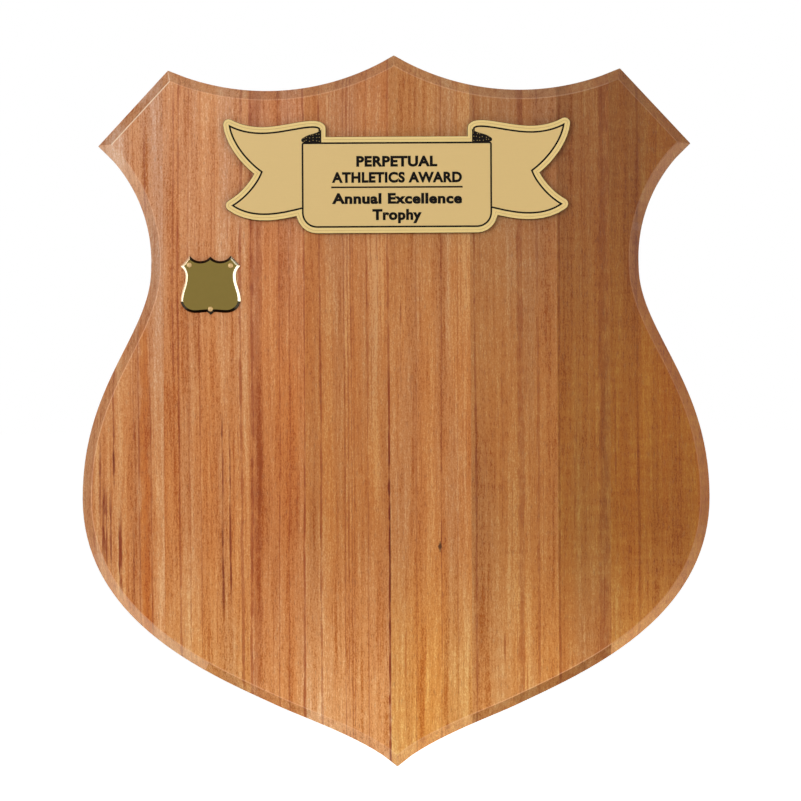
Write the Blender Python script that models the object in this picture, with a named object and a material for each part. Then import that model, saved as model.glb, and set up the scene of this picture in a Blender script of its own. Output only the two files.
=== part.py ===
"""A wall-hung perpetual award shield: an edge-glued timber board with a scroll-shaped header plate,
one small pinned annual shield, and a folding ring hanger with rubber bumpers on the back.

Frame: +X to the viewer's right, +Y into the wall, +Z up, in metres. The origin is the point where
the wall hook carries the raised ring, on the wall's surface.
"""

import math

import bmesh
import bpy
from mathutils import Matrix, Vector
from mathutils.geometry import interpolate_bezier, intersect_point_line

# Fits between pieces
TOUCH_GAP = 0.0003
GLUE_GAP = 0.0003

# Board
BOARD_THICKNESS = 0.018
BOARD_CHAMFER = 0.0055
BOARD_PEAK_Z = 0.190
BOARD_CENTRE_BELOW_HOOK = 0.150
STAVE_JOINTS = (-0.123, -0.078, -0.048, -0.003, 0.040, 0.086, 0.114)
STAVE_TONES = ("light", "mid", "light", "mid", "mid", "mid", "dark", "dark")

# Rubber bumpers between the board and the wall
BUMPER_HEIGHT = 0.005
BUMPER_RADIUS = 0.006
BUMPER_FACE_RADIUS = 0.005
BUMPER_EDGE = 0.0012
BUMPER_PLACES = {
    "bumper_upper_left": (-0.115, 0.125),
    "bumper_upper_right": (0.115, 0.125),
    "bumper_lower_left": (-0.090, -0.105),
    "bumper_lower_right": (0.090, -0.105),
}

# Planes across the depth, from the wall forwards
BOARD_BACK_Y = -(BUMPER_HEIGHT + TOUCH_GAP)
BOARD_FRONT_Y = BOARD_BACK_Y - BOARD_THICKNESS

# Scroll-shaped header plate and its adhesive tape
PLATE_THICKNESS = 0.0015
PLATE_MARGIN = 0.003
PLATE_CENTRE_X = 0.0013
PLATE_PANEL_HALF_WIDTH = 0.0504
PLATE_PANEL_TOP = 0.1428
PLATE_PANEL_BOTTOM = 0.0975
PLATE_PANEL_CORNER = 0.008
PLATE_FOLD_X = 0.0405
TAPE_THICKNESS = 0.0004
TAPE_PADS = {
    "tape_left_tail": (-0.063, 0.1260, 0.014, 0.030),
    "tape_panel": (0.0, 0.1200, 0.084, 0.034),
    "tape_right_tail": (0.063, 0.1260, 0.014, 0.030),
}

# Annual shield and its pins
SHIELD_CENTRE = (-0.0979, 0.0670)
SHIELD_THICKNESS = 0.0015
SHIELD_BEVEL = 0.0012
PIN_PLACES = {
    "shield_pin_left": (-0.0111, 0.0112),
    "shield_pin_right": (0.0108, 0.0108),
    "shield_pin_bottom": (0.0, -0.0122),
}
PIN_SHANK_RADIUS = 0.0006
PIN_HEAD_RADIUS = 0.0013
PIN_HEAD_HEIGHT = 0.0008
PIN_POINT_LENGTH = 0.001
PIN_DEPTH_IN_BOARD = 0.008

# Ring hanger
RING_WIRE_RADIUS = 0.001
RING_HALF_WIDTH = 0.0075
RING_LEG = 0.004
RING_CORNER = 0.0016
STRAP_WIDTH = 0.012
STRAP_LENGTH = 0.031
STRAP_THICKNESS = 0.0008
STRAP_CORNER_RADIUS = 0.0035
STRAP_CORNER_REACH = 0.001
EYE_OUTER_RADIUS = 0.0022
EYE_ROLL_DEGREES = 285.0
SCREW_DROPS = {"hanger_screw_upper": 0.0165, "hanger_screw_lower": 0.0250}
SCREW_SHANK_RADIUS = 0.0014
SCREW_HEAD_RADIUS = 0.0029
SCREW_HEAD_HEIGHT = 0.0013
SCREW_CROWN_RADIUS = 0.0020
SCREW_SHOULDER_RADIUS = 0.0027
SCREW_SHOULDER_HEIGHT = 0.0008
SCREW_POINT_LENGTH = 0.003
SCREW_DEPTH_IN_BOARD = 0.011
RING_AXIS_Y = BOARD_BACK_Y + TOUCH_GAP + EYE_OUTER_RADIUS
RING_AXIS_Z = -(RING_LEG + RING_HALF_WIDTH - RING_WIRE_RADIUS)

# Steps round a curve
ROUND_STEPS = 20
PIN_STEPS = 14
HOLE_STEPS = 16
BUMPER_STEPS = 24
EYE_ROLL_STEPS = 14
RING_BOW_STEPS = 16
RING_CORNER_STEPS = 4
STRAP_CORNER_STEPS = 4

# How far a drill starts outside the piece it cuts
DEPTH_CLEARANCE = 0.001


def clear_scene():
    """Remove every object that the file starts with."""
    for obj in list(bpy.data.objects):
        bpy.data.objects.remove(obj)


def make_material(name, colour, roughness, metallic):
    """A Principled material of one colour."""
    material = bpy.data.materials.new(name)
    material.use_nodes = True
    shader = material.node_tree.nodes["Principled BSDF"]
    shader.inputs["Base Color"].default_value = (*colour, 1.0)
    shader.inputs["Roughness"].default_value = roughness
    shader.inputs["Metallic"].default_value = metallic
    return material


def add_object(name, bm, material, location=(0.0, 0.0, 0.0)):
    """Turn a bmesh into a named object with its material."""
    bmesh.ops.recalc_face_normals(bm, faces=bm.faces)
    mesh = bpy.data.meshes.new(name)
    bm.to_mesh(mesh)
    bm.free()
    mesh.materials.append(material)
    obj = bpy.data.objects.new(name, mesh)
    obj.location = location
    bpy.context.scene.collection.objects.link(obj)
    return obj


def shade_round(obj):
    """Smooth shading with the real edges kept sharp."""
    obj.data.shade_smooth()
    obj.data.set_sharp_from_angle(angle=math.radians(35.0))


# Outlines are lists of 2D points (x, z) that run anticlockwise as seen from the front.


def curve_points(start, start_handle, end_handle, end, steps):
    """Points along one cubic curve, without its last one."""
    points = interpolate_bezier(
        Vector(start), Vector(start_handle), Vector(end_handle), Vector(end), steps + 1
    )
    return [point.to_2d() for point in points[:-1]]


def arc_points(start, end, sagitta, steps):
    """Points along a circular arc, without its last one; a positive sagitta bows to the left."""
    start = Vector(start)
    end = Vector(end)
    chord = end - start
    left = Vector((-chord.y, chord.x)).normalized()
    radius = (chord.length**2 / 4 + sagitta**2) / (2 * abs(sagitta))
    side = math.copysign(1.0, sagitta)
    centre = (start + end) / 2 + left * (sagitta - side * radius)
    first = start - centre
    turn = first.angle_signed(end - centre)
    return [
        centre + Matrix.Rotation(-turn * step / steps, 2) @ first for step in range(steps)
    ]


def mirrored(half):
    """A whole outline from its right half, which runs up from a point on x = 0 to another."""
    left = [Vector((-point.x, point.y)) for point in reversed(half[1:-1])]
    return half + left


def along(point, direction_degrees, length):
    """The point that lies a length away in a direction."""
    angle = math.radians(direction_degrees)
    return (point[0] + length * math.cos(angle), point[1] + length * math.sin(angle))


def board_outline():
    """The board: scalloped top, cut ears, drawn-in waist, round belly and a pointed foot."""
    foot = (0.0, -0.1895)
    flank = (0.0637, -0.1568)
    belly = (0.1673, -0.0460)
    waist = (0.1301, 0.0770)
    ear = (0.1580, 0.1422)
    shoulder = (0.1206, 0.1825)
    peak = (0.0, BOARD_PEAK_Z)
    flank_slope = 25.1
    foot_slope = 42.6
    half = curve_points(
        foot, along(foot, foot_slope, 0.0214), along(flank, flank_slope, -0.0157), flank, 8
    )
    half += curve_points(
        flank, along(flank, flank_slope, 0.0388), along(belly, -90.0, 0.0660), belly, 14
    )
    half += curve_points(
        belly, along(belly, 90.0, 0.0620), along(waist, -90.0, 0.0350), waist, 12
    )
    half += arc_points(waist, ear, 0.0082, 8)
    half += [Vector(ear)]
    half += arc_points(shoulder, peak, 0.0147, 14)
    half += [Vector(peak)]
    return mirrored(half)


def scroll_face_outline():
    """The printed border of the header: a flat panel with a folded swallow tail on each side."""
    edge = PLATE_PANEL_HALF_WIDTH
    corner = PLATE_PANEL_CORNER
    bottom = PLATE_PANEL_BOTTOM
    under_panel = (edge, 0.1075)
    lower_tip = (0.0879, 0.1096)
    notch = (0.0721, 0.1272)
    upper_tip = (0.0891, 0.1525)
    sag = (0.0680, 0.1483)
    curl = (PLATE_FOLD_X, 0.1502)
    half = [Vector((0.0, bottom))]
    half += arc_points((edge - corner, bottom), (edge, bottom + corner), -0.2929 * corner, 6)
    half += [Vector((edge, bottom + corner))]
    half += curve_points(under_panel, (0.0600, 0.1052), (0.0760, 0.1010), lower_tip, 10)
    half += curve_points(lower_tip, (0.0800, 0.1140), (0.0740, 0.1220), notch, 8)
    half += curve_points(notch, (0.0800, 0.1330), (0.0880, 0.1430), upper_tip, 10)
    half += curve_points(upper_tip, (0.0820, 0.1485), (0.0740, 0.1479), sag, 8)
    half += curve_points(sag, (0.0570, 0.1490), (0.0430, 0.1535), curl, 10)
    half += [Vector(curl)]
    half += [Vector((PLATE_FOLD_X, PLATE_PANEL_TOP))]
    half += [Vector((0.0, PLATE_PANEL_TOP))]
    return mirrored(half)


def annual_outline():
    """The annual shield: the same family of shape as the board, but squarer at the foot."""
    foot = (0.0, -0.0152)
    dip = (0.0018, -0.0137)
    lobe = (0.0085, -0.0141)
    belly = (0.0159, -0.0074)
    waist = (0.0134, 0.0046)
    ear = (0.0158, 0.0107)
    shoulder = (0.0109, 0.0161)
    peak = (0.0, 0.0157)
    half = [Vector(foot)]
    half += curve_points(dip, (0.0040, -0.0137), (0.0060, -0.0141), lobe, 3)
    half += curve_points(lobe, (0.0125, -0.0141), (0.0159, -0.0110), belly, 6)
    half += curve_points(belly, (0.0159, -0.0030), (0.0134, 0.0010), waist, 6)
    half += arc_points(waist, ear, 0.0008, 4)
    half += [Vector(ear)]
    half += arc_points(shoulder, peak, 0.0026, 8)
    half += [Vector(peak)]
    return mirrored(half)


def clearance(point, outline):
    """The distance from a point to the nearest side of an outline."""
    nearest = math.inf
    for index, end in enumerate(outline):
        foot, share = intersect_point_line(point, outline[index - 1], end)
        foot = outline[index - 1].lerp(end, min(max(share, 0.0), 1.0))
        nearest = min(nearest, (point - foot).length)
    return nearest


def parallel_outline(outline, distance):
    """The outline moved outwards by a distance, with round outer and sharp inner corners."""
    rounded_from = math.radians(20.0)
    moved = []
    count = len(outline)
    for index, point in enumerate(outline):
        before = (point - outline[index - 1]).normalized()
        after = (outline[(index + 1) % count] - point).normalized()
        out_before = Vector((before.y, -before.x))
        out_after = Vector((after.y, -after.x))
        bend = -before.angle_signed(after)
        if bend > rounded_from:
            steps = max(2, round(bend / rounded_from))
            for step in range(steps + 1):
                spoke = Matrix.Rotation(bend * step / steps, 2) @ out_before
                moved.append(point + spoke * distance)
        else:
            mitre = (out_before + out_after).normalized()
            moved.append(point + mitre * (distance / mitre.dot(out_after)))
    crossed = 0.95 * distance
    return [point for point in moved if clearance(point, outline) > crossed]


def prism(outline, centre, back_y, front_y, bevel=0.0):
    """A flat piece of one outline between two depths, with an optional bevel round its front."""
    bm = bmesh.new()
    verts = [
        bm.verts.new((centre[0] + point.x, back_y, centre[1] + point.y)) for point in outline
    ]
    back = bm.faces.new(verts)
    grown = bmesh.ops.extrude_face_region(bm, geom=[back])
    front_verts = [item for item in grown["geom"] if isinstance(item, bmesh.types.BMVert)]
    bmesh.ops.translate(bm, verts=front_verts, vec=(0.0, front_y - back_y, 0.0))
    if bevel:
        front_edges = [
            item for item in grown["geom"] if isinstance(item, bmesh.types.BMEdge)
        ]
        bmesh.ops.bevel(
            bm,
            geom=front_edges,
            offset=bevel,
            offset_type="OFFSET",
            affect="EDGES",
            segments=1,
            profile=0.5,
            material=-1,
        )
    return bm


def turned(profile, steps=ROUND_STEPS):
    """A round piece from a profile of (radius, y), which starts and ends on the Y axis."""
    bm = bmesh.new()
    verts = [bm.verts.new((radius, y, 0.0)) for radius, y in profile]
    edges = [bm.edges.new(pair) for pair in zip(verts, verts[1:])]
    bmesh.ops.spin(
        bm,
        geom=verts + edges,
        cent=(0.0, 0.0, 0.0),
        axis=(0.0, 1.0, 0.0),
        angle=math.tau,
        steps=steps,
        use_merge=True,
    )
    bmesh.ops.remove_doubles(bm, verts=bm.verts, dist=1e-6)
    return bm


def drill(obj, name, radius, place, first_y, last_y):
    """Cut a round hole along Y through part of an object."""
    bm = bmesh.new()
    depth = abs(last_y - first_y)
    bmesh.ops.create_cone(
        bm,
        cap_ends=True,
        segments=HOLE_STEPS,
        radius1=radius,
        radius2=radius,
        depth=depth,
        matrix=Matrix.Rotation(math.radians(90.0), 4, "X"),
    )
    location = (place[0], (first_y + last_y) / 2, place[1])
    cutter = add_object(f"{name}_cutter", bm, obj.data.materials[0], location)
    cutter.hide_render = True
    cutter.display_type = "WIRE"
    cut = obj.modifiers.new(name, "BOOLEAN")
    cut.operation = "DIFFERENCE"
    cut.solver = "EXACT"
    cut.object = cutter


def on_board(place):
    """A place given from the middle of the board, in the part's own frame."""
    return (place[0], place[1] - BOARD_CENTRE_BELOW_HOOK)


def make_staves(materials):
    """The board, sawn into its glued staves at the joint lines."""
    ends = (-1.0, *STAVE_JOINTS, 1.0)
    staves = []
    for index, tone in enumerate(STAVE_TONES):
        bm = prism(
            board_outline(), on_board((0.0, 0.0)), BOARD_BACK_Y, BOARD_FRONT_Y, BOARD_CHAMFER
        )
        left = ends[index] + GLUE_GAP / 2
        right = ends[index + 1] - GLUE_GAP / 2
        for x, side in ((left, -1.0), (right, 1.0)):
            cut = bmesh.ops.bisect_plane(
                bm,
                geom=bm.verts[:] + bm.edges[:] + bm.faces[:],
                dist=1e-7,
                plane_co=(x, 0.0, 0.0),
                plane_no=(side, 0.0, 0.0),
                clear_outer=True,
            )
            rim = [
                item for item in cut["geom_cut"] if isinstance(item, bmesh.types.BMEdge)
            ]
            if rim:
                bmesh.ops.edgeloop_fill(bm, edges=rim)
        staves.append(add_object(f"board_stave_{index + 1}", bm, materials[tone]))
    return staves


def stave_at(staves, x):
    """The stave that a place across the board falls on."""
    return staves[sum(x > joint for joint in STAVE_JOINTS)]


def make_scroll_plate(materials):
    """The header plate and the tape pads that hold it to the board."""
    centre = on_board((PLATE_CENTRE_X, 0.0))
    tape_back = BOARD_FRONT_Y - TOUCH_GAP
    plate_back = tape_back - TAPE_THICKNESS - TOUCH_GAP
    outline = parallel_outline(scroll_face_outline(), PLATE_MARGIN)
    bm = prism(outline, centre, plate_back, plate_back - PLATE_THICKNESS)
    add_object("scroll_plate", bm, materials["gold_laminate"])
    for name, (x, z, width, height) in TAPE_PADS.items():
        pad = bmesh.new()
        bmesh.ops.create_cube(
            pad, size=1.0, matrix=Matrix.Diagonal((width, TAPE_THICKNESS, height, 1.0))
        )
        location = (centre[0] + x, tape_back - TAPE_THICKNESS / 2, centre[1] + z)
        add_object(name, pad, materials["tape"], location)


def dome_profile(radius, height, base_y, steps=5):
    """The profile of a domed head from its rim to its crown, which points to -Y."""
    profile = []
    for step in range(steps + 1):
        angle = math.radians(90.0) * step / steps
        profile.append((radius * math.cos(angle), base_y - height * math.sin(angle)))
    profile[-1] = (0.0, base_y - height)
    return profile


def make_annual_shield(staves, materials):
    """The small brass shield, its three pins, and their holes in the shield and the board."""
    centre = on_board(SHIELD_CENTRE)
    back_y = BOARD_FRONT_Y - TOUCH_GAP
    front_y = back_y - SHIELD_THICKNESS
    bm = prism(annual_outline(), centre, back_y, front_y, SHIELD_BEVEL)
    shield = add_object("annual_shield", bm, materials["brass"])
    head_y = front_y - TOUCH_GAP
    point_y = BOARD_FRONT_Y + PIN_DEPTH_IN_BOARD
    hole_radius = PIN_SHANK_RADIUS + TOUCH_GAP
    for name, (x, z) in PIN_PLACES.items():
        place = (centre[0] + x, centre[1] + z)
        shield_back = back_y + TOUCH_GAP / 2
        drill(shield, name, hole_radius, place, front_y - DEPTH_CLEARANCE, shield_back)
        stave = stave_at(staves, place[0])
        hole_end = point_y + 2 * TOUCH_GAP
        drill(stave, name, hole_radius, place, BOARD_FRONT_Y - DEPTH_CLEARANCE, hole_end)
        profile = [
            (0.0, point_y),
            (PIN_SHANK_RADIUS, point_y - PIN_POINT_LENGTH),
            (PIN_SHANK_RADIUS, head_y),
            *dome_profile(PIN_HEAD_RADIUS, PIN_HEAD_HEIGHT, head_y),
        ]
        location = (place[0], 0.0, place[1])
        pin = add_object(name, turned(profile, PIN_STEPS), materials["brass_pin"], location)
        shade_round(pin)


def strap_profile():
    """The strap seen along X, as (y, z) from the ring's axis: a flat leg rolled into an eye."""
    outer = EYE_OUTER_RADIUS
    inner = outer - STRAP_THICKNESS
    around = [
        EYE_ROLL_DEGREES * step / EYE_ROLL_STEPS for step in range(EYE_ROLL_STEPS + 1)
    ]
    leg_end = -STRAP_LENGTH
    profile = [(-inner, leg_end), (-outer, leg_end)]
    for radius, angles in ((outer, around), (inner, reversed(around))):
        for degrees in angles:
            angle = math.radians(degrees)
            profile.append((-radius * math.cos(angle), radius * math.sin(angle)))
    return profile


def make_hanger(staves, materials):
    """The strap, its two screws and the ring, which hangs down from the strap's eye."""
    axis = Vector((0.0, RING_AXIS_Y, RING_AXIS_Z))
    bm = bmesh.new()
    side = bm.faces.new(
        [bm.verts.new((-STRAP_WIDTH / 2, y, z)) for y, z in strap_profile()]
    )
    grown = bmesh.ops.extrude_face_region(bm, geom=[side])
    moved = [item for item in grown["geom"] if isinstance(item, bmesh.types.BMVert)]
    bmesh.ops.translate(bm, verts=moved, vec=(STRAP_WIDTH, 0.0, 0.0))
    feet = [edge for edge in bm.edges if is_strap_corner(edge)]
    bmesh.ops.bevel(
        bm,
        geom=feet,
        offset=STRAP_CORNER_RADIUS,
        affect="EDGES",
        segments=STRAP_CORNER_STEPS,
        profile=0.5,
        material=-1,
    )
    strap = add_object("hanger_strap", bm, materials["hanger_brass"], axis)
    strap_top = BOARD_BACK_Y + TOUCH_GAP + STRAP_THICKNESS
    above_strap = strap_top + DEPTH_CLEARANCE
    behind_board = BOARD_BACK_Y + DEPTH_CLEARANCE
    seat = strap_top + TOUCH_GAP
    hole_radius = SCREW_SHANK_RADIUS + TOUCH_GAP
    for name, drop in SCREW_DROPS.items():
        place = (0.0, RING_AXIS_Z - drop)
        tip_y = BOARD_BACK_Y - SCREW_DEPTH_IN_BOARD
        drill(strap, name, hole_radius, place, BOARD_BACK_Y - DEPTH_CLEARANCE, above_strap)
        stave = stave_at(staves, place[0])
        drill(stave, name, hole_radius, place, tip_y - 2 * TOUCH_GAP, behind_board)
        profile = [
            (0.0, tip_y),
            (SCREW_SHANK_RADIUS, tip_y + SCREW_POINT_LENGTH),
            (SCREW_SHANK_RADIUS, seat),
            (SCREW_HEAD_RADIUS, seat),
            (SCREW_SHOULDER_RADIUS, seat + SCREW_SHOULDER_HEIGHT),
            (SCREW_CROWN_RADIUS, seat + SCREW_HEAD_HEIGHT),
            (0.0, seat + SCREW_HEAD_HEIGHT),
        ]
        screw = add_object(name, turned(profile), materials["screw_steel"], (0.0, 0.0, place[1]))
        shade_round(screw)
    make_ring(axis, materials)


def is_strap_corner(edge):
    """True for the short edges at the two corners of the strap's lower end."""
    low = all(vert.co.z < STRAP_CORNER_REACH - STRAP_LENGTH for vert in edge.verts)
    first, last = (vert.co for vert in edge.verts)
    return low and abs(first.x - last.x) < TOUCH_GAP


def make_ring(axis, materials):
    """A D-shaped wire ring: a straight bar in the eye, two legs and a round bow."""
    corner = RING_CORNER
    half = RING_HALF_WIDTH
    points = []
    for step in range(RING_CORNER_STEPS + 1):
        angle = math.radians(90.0) * step / RING_CORNER_STEPS
        points.append((half - corner + corner * math.sin(angle), corner * (math.cos(angle) - 1)))
    for step in range(RING_BOW_STEPS + 1):
        angle = math.pi * step / RING_BOW_STEPS
        points.append((half * math.cos(angle), -RING_LEG - half * math.sin(angle)))
    for step in range(RING_CORNER_STEPS + 1):
        angle = math.radians(90.0) * step / RING_CORNER_STEPS
        points.append((-half + corner - corner * math.cos(angle), corner * (math.sin(angle) - 1)))
    curve = bpy.data.curves.new("hanger_ring", "CURVE")
    curve.dimensions = "3D"
    curve.bevel_depth = RING_WIRE_RADIUS
    curve.bevel_resolution = 3
    spline = curve.splines.new("POLY")
    spline.points.add(len(points) - 1)
    for point, (x, z) in zip(spline.points, points):
        point.co = (x, 0.0, z, 1.0)
    spline.use_cyclic_u = True
    spline.use_smooth = True
    curve.materials.append(materials["hanger_brass"])
    ring = bpy.data.objects.new("hanger_ring", curve)
    ring.location = axis
    bpy.context.scene.collection.objects.link(ring)


def make_bumpers(materials):
    """Four tapered rubber bumpers that keep the board off the wall."""
    for name, place in BUMPER_PLACES.items():
        x, z = on_board(place)
        profile = [
            (0.0, 0.0),
            (BUMPER_FACE_RADIUS, 0.0),
            (BUMPER_RADIUS, -BUMPER_EDGE),
            (BUMPER_RADIUS, -BUMPER_HEIGHT),
            (0.0, -BUMPER_HEIGHT),
        ]
        bumper = add_object(name, turned(profile, BUMPER_STEPS), materials["rubber"], (x, 0.0, z))
        shade_round(bumper)


def main():
    clear_scene()
    materials = {
        "light": make_material("timber_light", (0.56, 0.235, 0.100), 0.42, 0.0),
        "mid": make_material("timber_mid", (0.47, 0.180, 0.070), 0.42, 0.0),
        "dark": make_material("timber_dark", (0.36, 0.130, 0.050), 0.42, 0.0),
        "gold_laminate": make_material("gold_laminate", (0.68, 0.47, 0.19), 0.45, 0.0),
        "tape": make_material("tape", (0.75, 0.74, 0.70), 0.80, 0.0),
        "brass": make_material("brass", (0.42, 0.31, 0.08), 0.12, 1.0),
        "brass_pin": make_material("brass_pin", (0.78, 0.58, 0.27), 0.25, 1.0),
        "hanger_brass": make_material("hanger_brass", (0.70, 0.52, 0.22), 0.30, 1.0),
        "screw_steel": make_material("screw_steel", (0.66, 0.50, 0.24), 0.35, 1.0),
        "rubber": make_material("rubber", (0.04, 0.04, 0.045), 0.75, 0.0),
    }
    staves = make_staves(materials)
    make_scroll_plate(materials)
    make_annual_shield(staves, materials)
    make_hanger(staves, materials)
    make_bumpers(materials)


main()
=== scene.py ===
"""The looks of a wall-hung perpetual award shield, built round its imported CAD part.

A lacquered board glued up from eight timber staves carries a scroll-shaped header plate and one
small pinned annual shield. A folding ring hanger and four rubber bumpers are on its back.

Frame: +X to the viewer's right, +Y into the wall, +Z up, in metres, with the wall hook at the
origin. Outlines are drawn in (x, z) from the middle of the piece that they belong to.
"""

import logging
import math
from dataclasses import dataclass
from enum import Enum
from typing import ClassVar, Mapping, Sequence

import bmesh
import bpy
from bmesh.types import BMEdge, BMFace, BMVert
from mathutils import Matrix, Vector
from mathutils.geometry import interpolate_bezier


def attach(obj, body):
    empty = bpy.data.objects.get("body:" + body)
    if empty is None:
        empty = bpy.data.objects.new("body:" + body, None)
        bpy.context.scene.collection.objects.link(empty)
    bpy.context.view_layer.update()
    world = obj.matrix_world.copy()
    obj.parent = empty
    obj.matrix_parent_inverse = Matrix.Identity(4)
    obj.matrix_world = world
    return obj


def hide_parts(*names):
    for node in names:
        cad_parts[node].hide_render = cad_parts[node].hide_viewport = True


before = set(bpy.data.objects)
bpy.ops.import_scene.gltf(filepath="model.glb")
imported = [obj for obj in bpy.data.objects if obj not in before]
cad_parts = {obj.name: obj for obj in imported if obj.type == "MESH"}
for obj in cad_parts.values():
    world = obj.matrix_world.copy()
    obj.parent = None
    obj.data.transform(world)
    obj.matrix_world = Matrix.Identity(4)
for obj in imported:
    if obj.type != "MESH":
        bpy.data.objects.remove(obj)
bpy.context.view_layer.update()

LOG = logging.getLogger("award_shield")

Colour = tuple[float, float, float]
Point = tuple[float, float]

# Planes across the depth, from the wall forwards
BOARD_BACK_Y = -0.0053
BOARD_FRONT_Y = -0.0233
PLATE_FRONT_Y = -0.0258
SHIELD_BACK_Y = -0.0236
SHIELD_FRONT_Y = -0.0251

# The middle of the board, below the wall hook
BOARD_CENTRE: Point = (0.0, -0.150)

# The gap that the CAD keeps between faces that touch
TOUCH_GAP = 0.0003

# How far a quarter of a circle bows out from its chord, as a share of its radius
QUARTER_RISE = 0.2929

HAIR = 1e-6
WHITE = (1.0, 1.0, 1.0)


class Body(Enum):
    """The two bodies of the part."""

    PLAQUE = "plaque"
    RING = "ring"


class Slot(Enum):
    """The record's material slots."""

    TIMBER_LIGHT = "timber_light"
    TIMBER_MID = "timber_mid"
    TIMBER_DARK = "timber_dark"
    GOLD_LAMINATE = "gold_laminate"
    TAPE = "tape"
    BRASS = "brass"
    PIN_BRASS = "pin_brass"
    HANGER_BRASS = "hanger_brass"
    SCREW_STEEL = "screw_steel"
    RUBBER = "rubber"


def tint(red: int, green: int, blue: int) -> Colour:
    """A display colour as linear light.

    Args:
        red: The red part, from 0 to 255.
        green: The green part, from 0 to 255.
        blue: The blue part, from 0 to 255.

    Returns:
        The same colour in linear light, from 0 to 1.
    """

    def linear(part: int) -> float:
        """One part of the colour in linear light."""
        share = part / 255.0
        return share / 12.92 if share <= 0.04045 else ((share + 0.055) / 1.055) ** 2.4

    return (linear(red), linear(green), linear(blue))


# --- Shader graphs ---


@dataclass(frozen=True)
class Wire:
    """An output socket that can stand in a sum."""

    graph: "Tree"
    socket: bpy.types.NodeSocket

    def _math(self, operation: str, first: "Feed", second: "Feed") -> "Wire":
        """One Math node on two values."""
        return self.graph.add("ShaderNodeMath", {"operation": operation}, {0: first, 1: second})

    def __add__(self, other: "Feed") -> "Wire":
        """This value and another."""
        return self._math("ADD", self, other)

    def __radd__(self, other: "Feed") -> "Wire":
        """Another value and this one."""
        return self._math("ADD", other, self)

    def __sub__(self, other: "Feed") -> "Wire":
        """This value less another."""
        return self._math("SUBTRACT", self, other)

    def __rsub__(self, other: "Feed") -> "Wire":
        """Another value less this one."""
        return self._math("SUBTRACT", other, self)

    def __mul__(self, other: "Feed") -> "Wire":
        """This value times another."""
        return self._math("MULTIPLY", self, other)

    def __rmul__(self, other: "Feed") -> "Wire":
        """Another value times this one."""
        return self._math("MULTIPLY", other, self)

    def __abs__(self) -> "Wire":
        """This value without its sign."""
        return self._math("ABSOLUTE", self, 0.0)

    def between(self, low: float, high: float) -> "Wire":
        """A smooth step.

        Args:
            low: The value at which the step starts from 0.
            high: The value at which it reaches 1.

        Returns:
            A value from 0 to 1.
        """
        return self.graph.add(
            "ShaderNodeMapRange",
            {"interpolation_type": "SMOOTHSTEP"},
            {"Value": self, "From Min": low, "From Max": high},
        )


Feed = Wire | float | Sequence[float]


class Tree:
    """A tree of nodes, and the ways to add to it."""

    def __init__(self, tree: bpy.types.NodeTree) -> None:
        """Take up a tree."""
        self.tree = tree

    def add(
        self,
        kind: str,
        settings: Mapping[str, object],
        feeds: Mapping[int | str, Feed],
        output: int | str = 0,
    ) -> Wire:
        """Add a node.

        Args:
            kind: The node's type.
            settings: Its settings, by name; "stops" are a ramp's positions and colours.
            feeds: The values or wires of its input sockets.
            output: The output socket to go on from.

        Returns:
            That output.
        """
        node = self.tree.nodes.new(kind)
        for name, value in settings.items():
            if name == "stops":
                ramp = node.color_ramp
                while len(ramp.elements) < len(value):
                    ramp.elements.new(1.0)
                for element, (position, colour) in zip(ramp.elements, value):
                    element.position = position
                    element.color = (*colour, 1.0)
            else:
                setattr(node, name, value)
        for key, feed in feeds.items():
            self.feed(node.inputs[key], feed)
        return Wire(self, node.outputs[output])

    def feed(self, socket: bpy.types.NodeSocket, feed: Feed) -> None:
        """Link a wire to a socket, or set the socket's own value.

        Args:
            socket: The input socket.
            feed: The wire or the value.
        """
        if isinstance(feed, Wire):
            self.tree.links.new(feed.socket, socket)
        elif isinstance(feed, (int, float)):
            socket.default_value = feed
        else:
            size = len(socket.default_value)
            socket.default_value = (*feed, 1.0)[:size]


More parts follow.
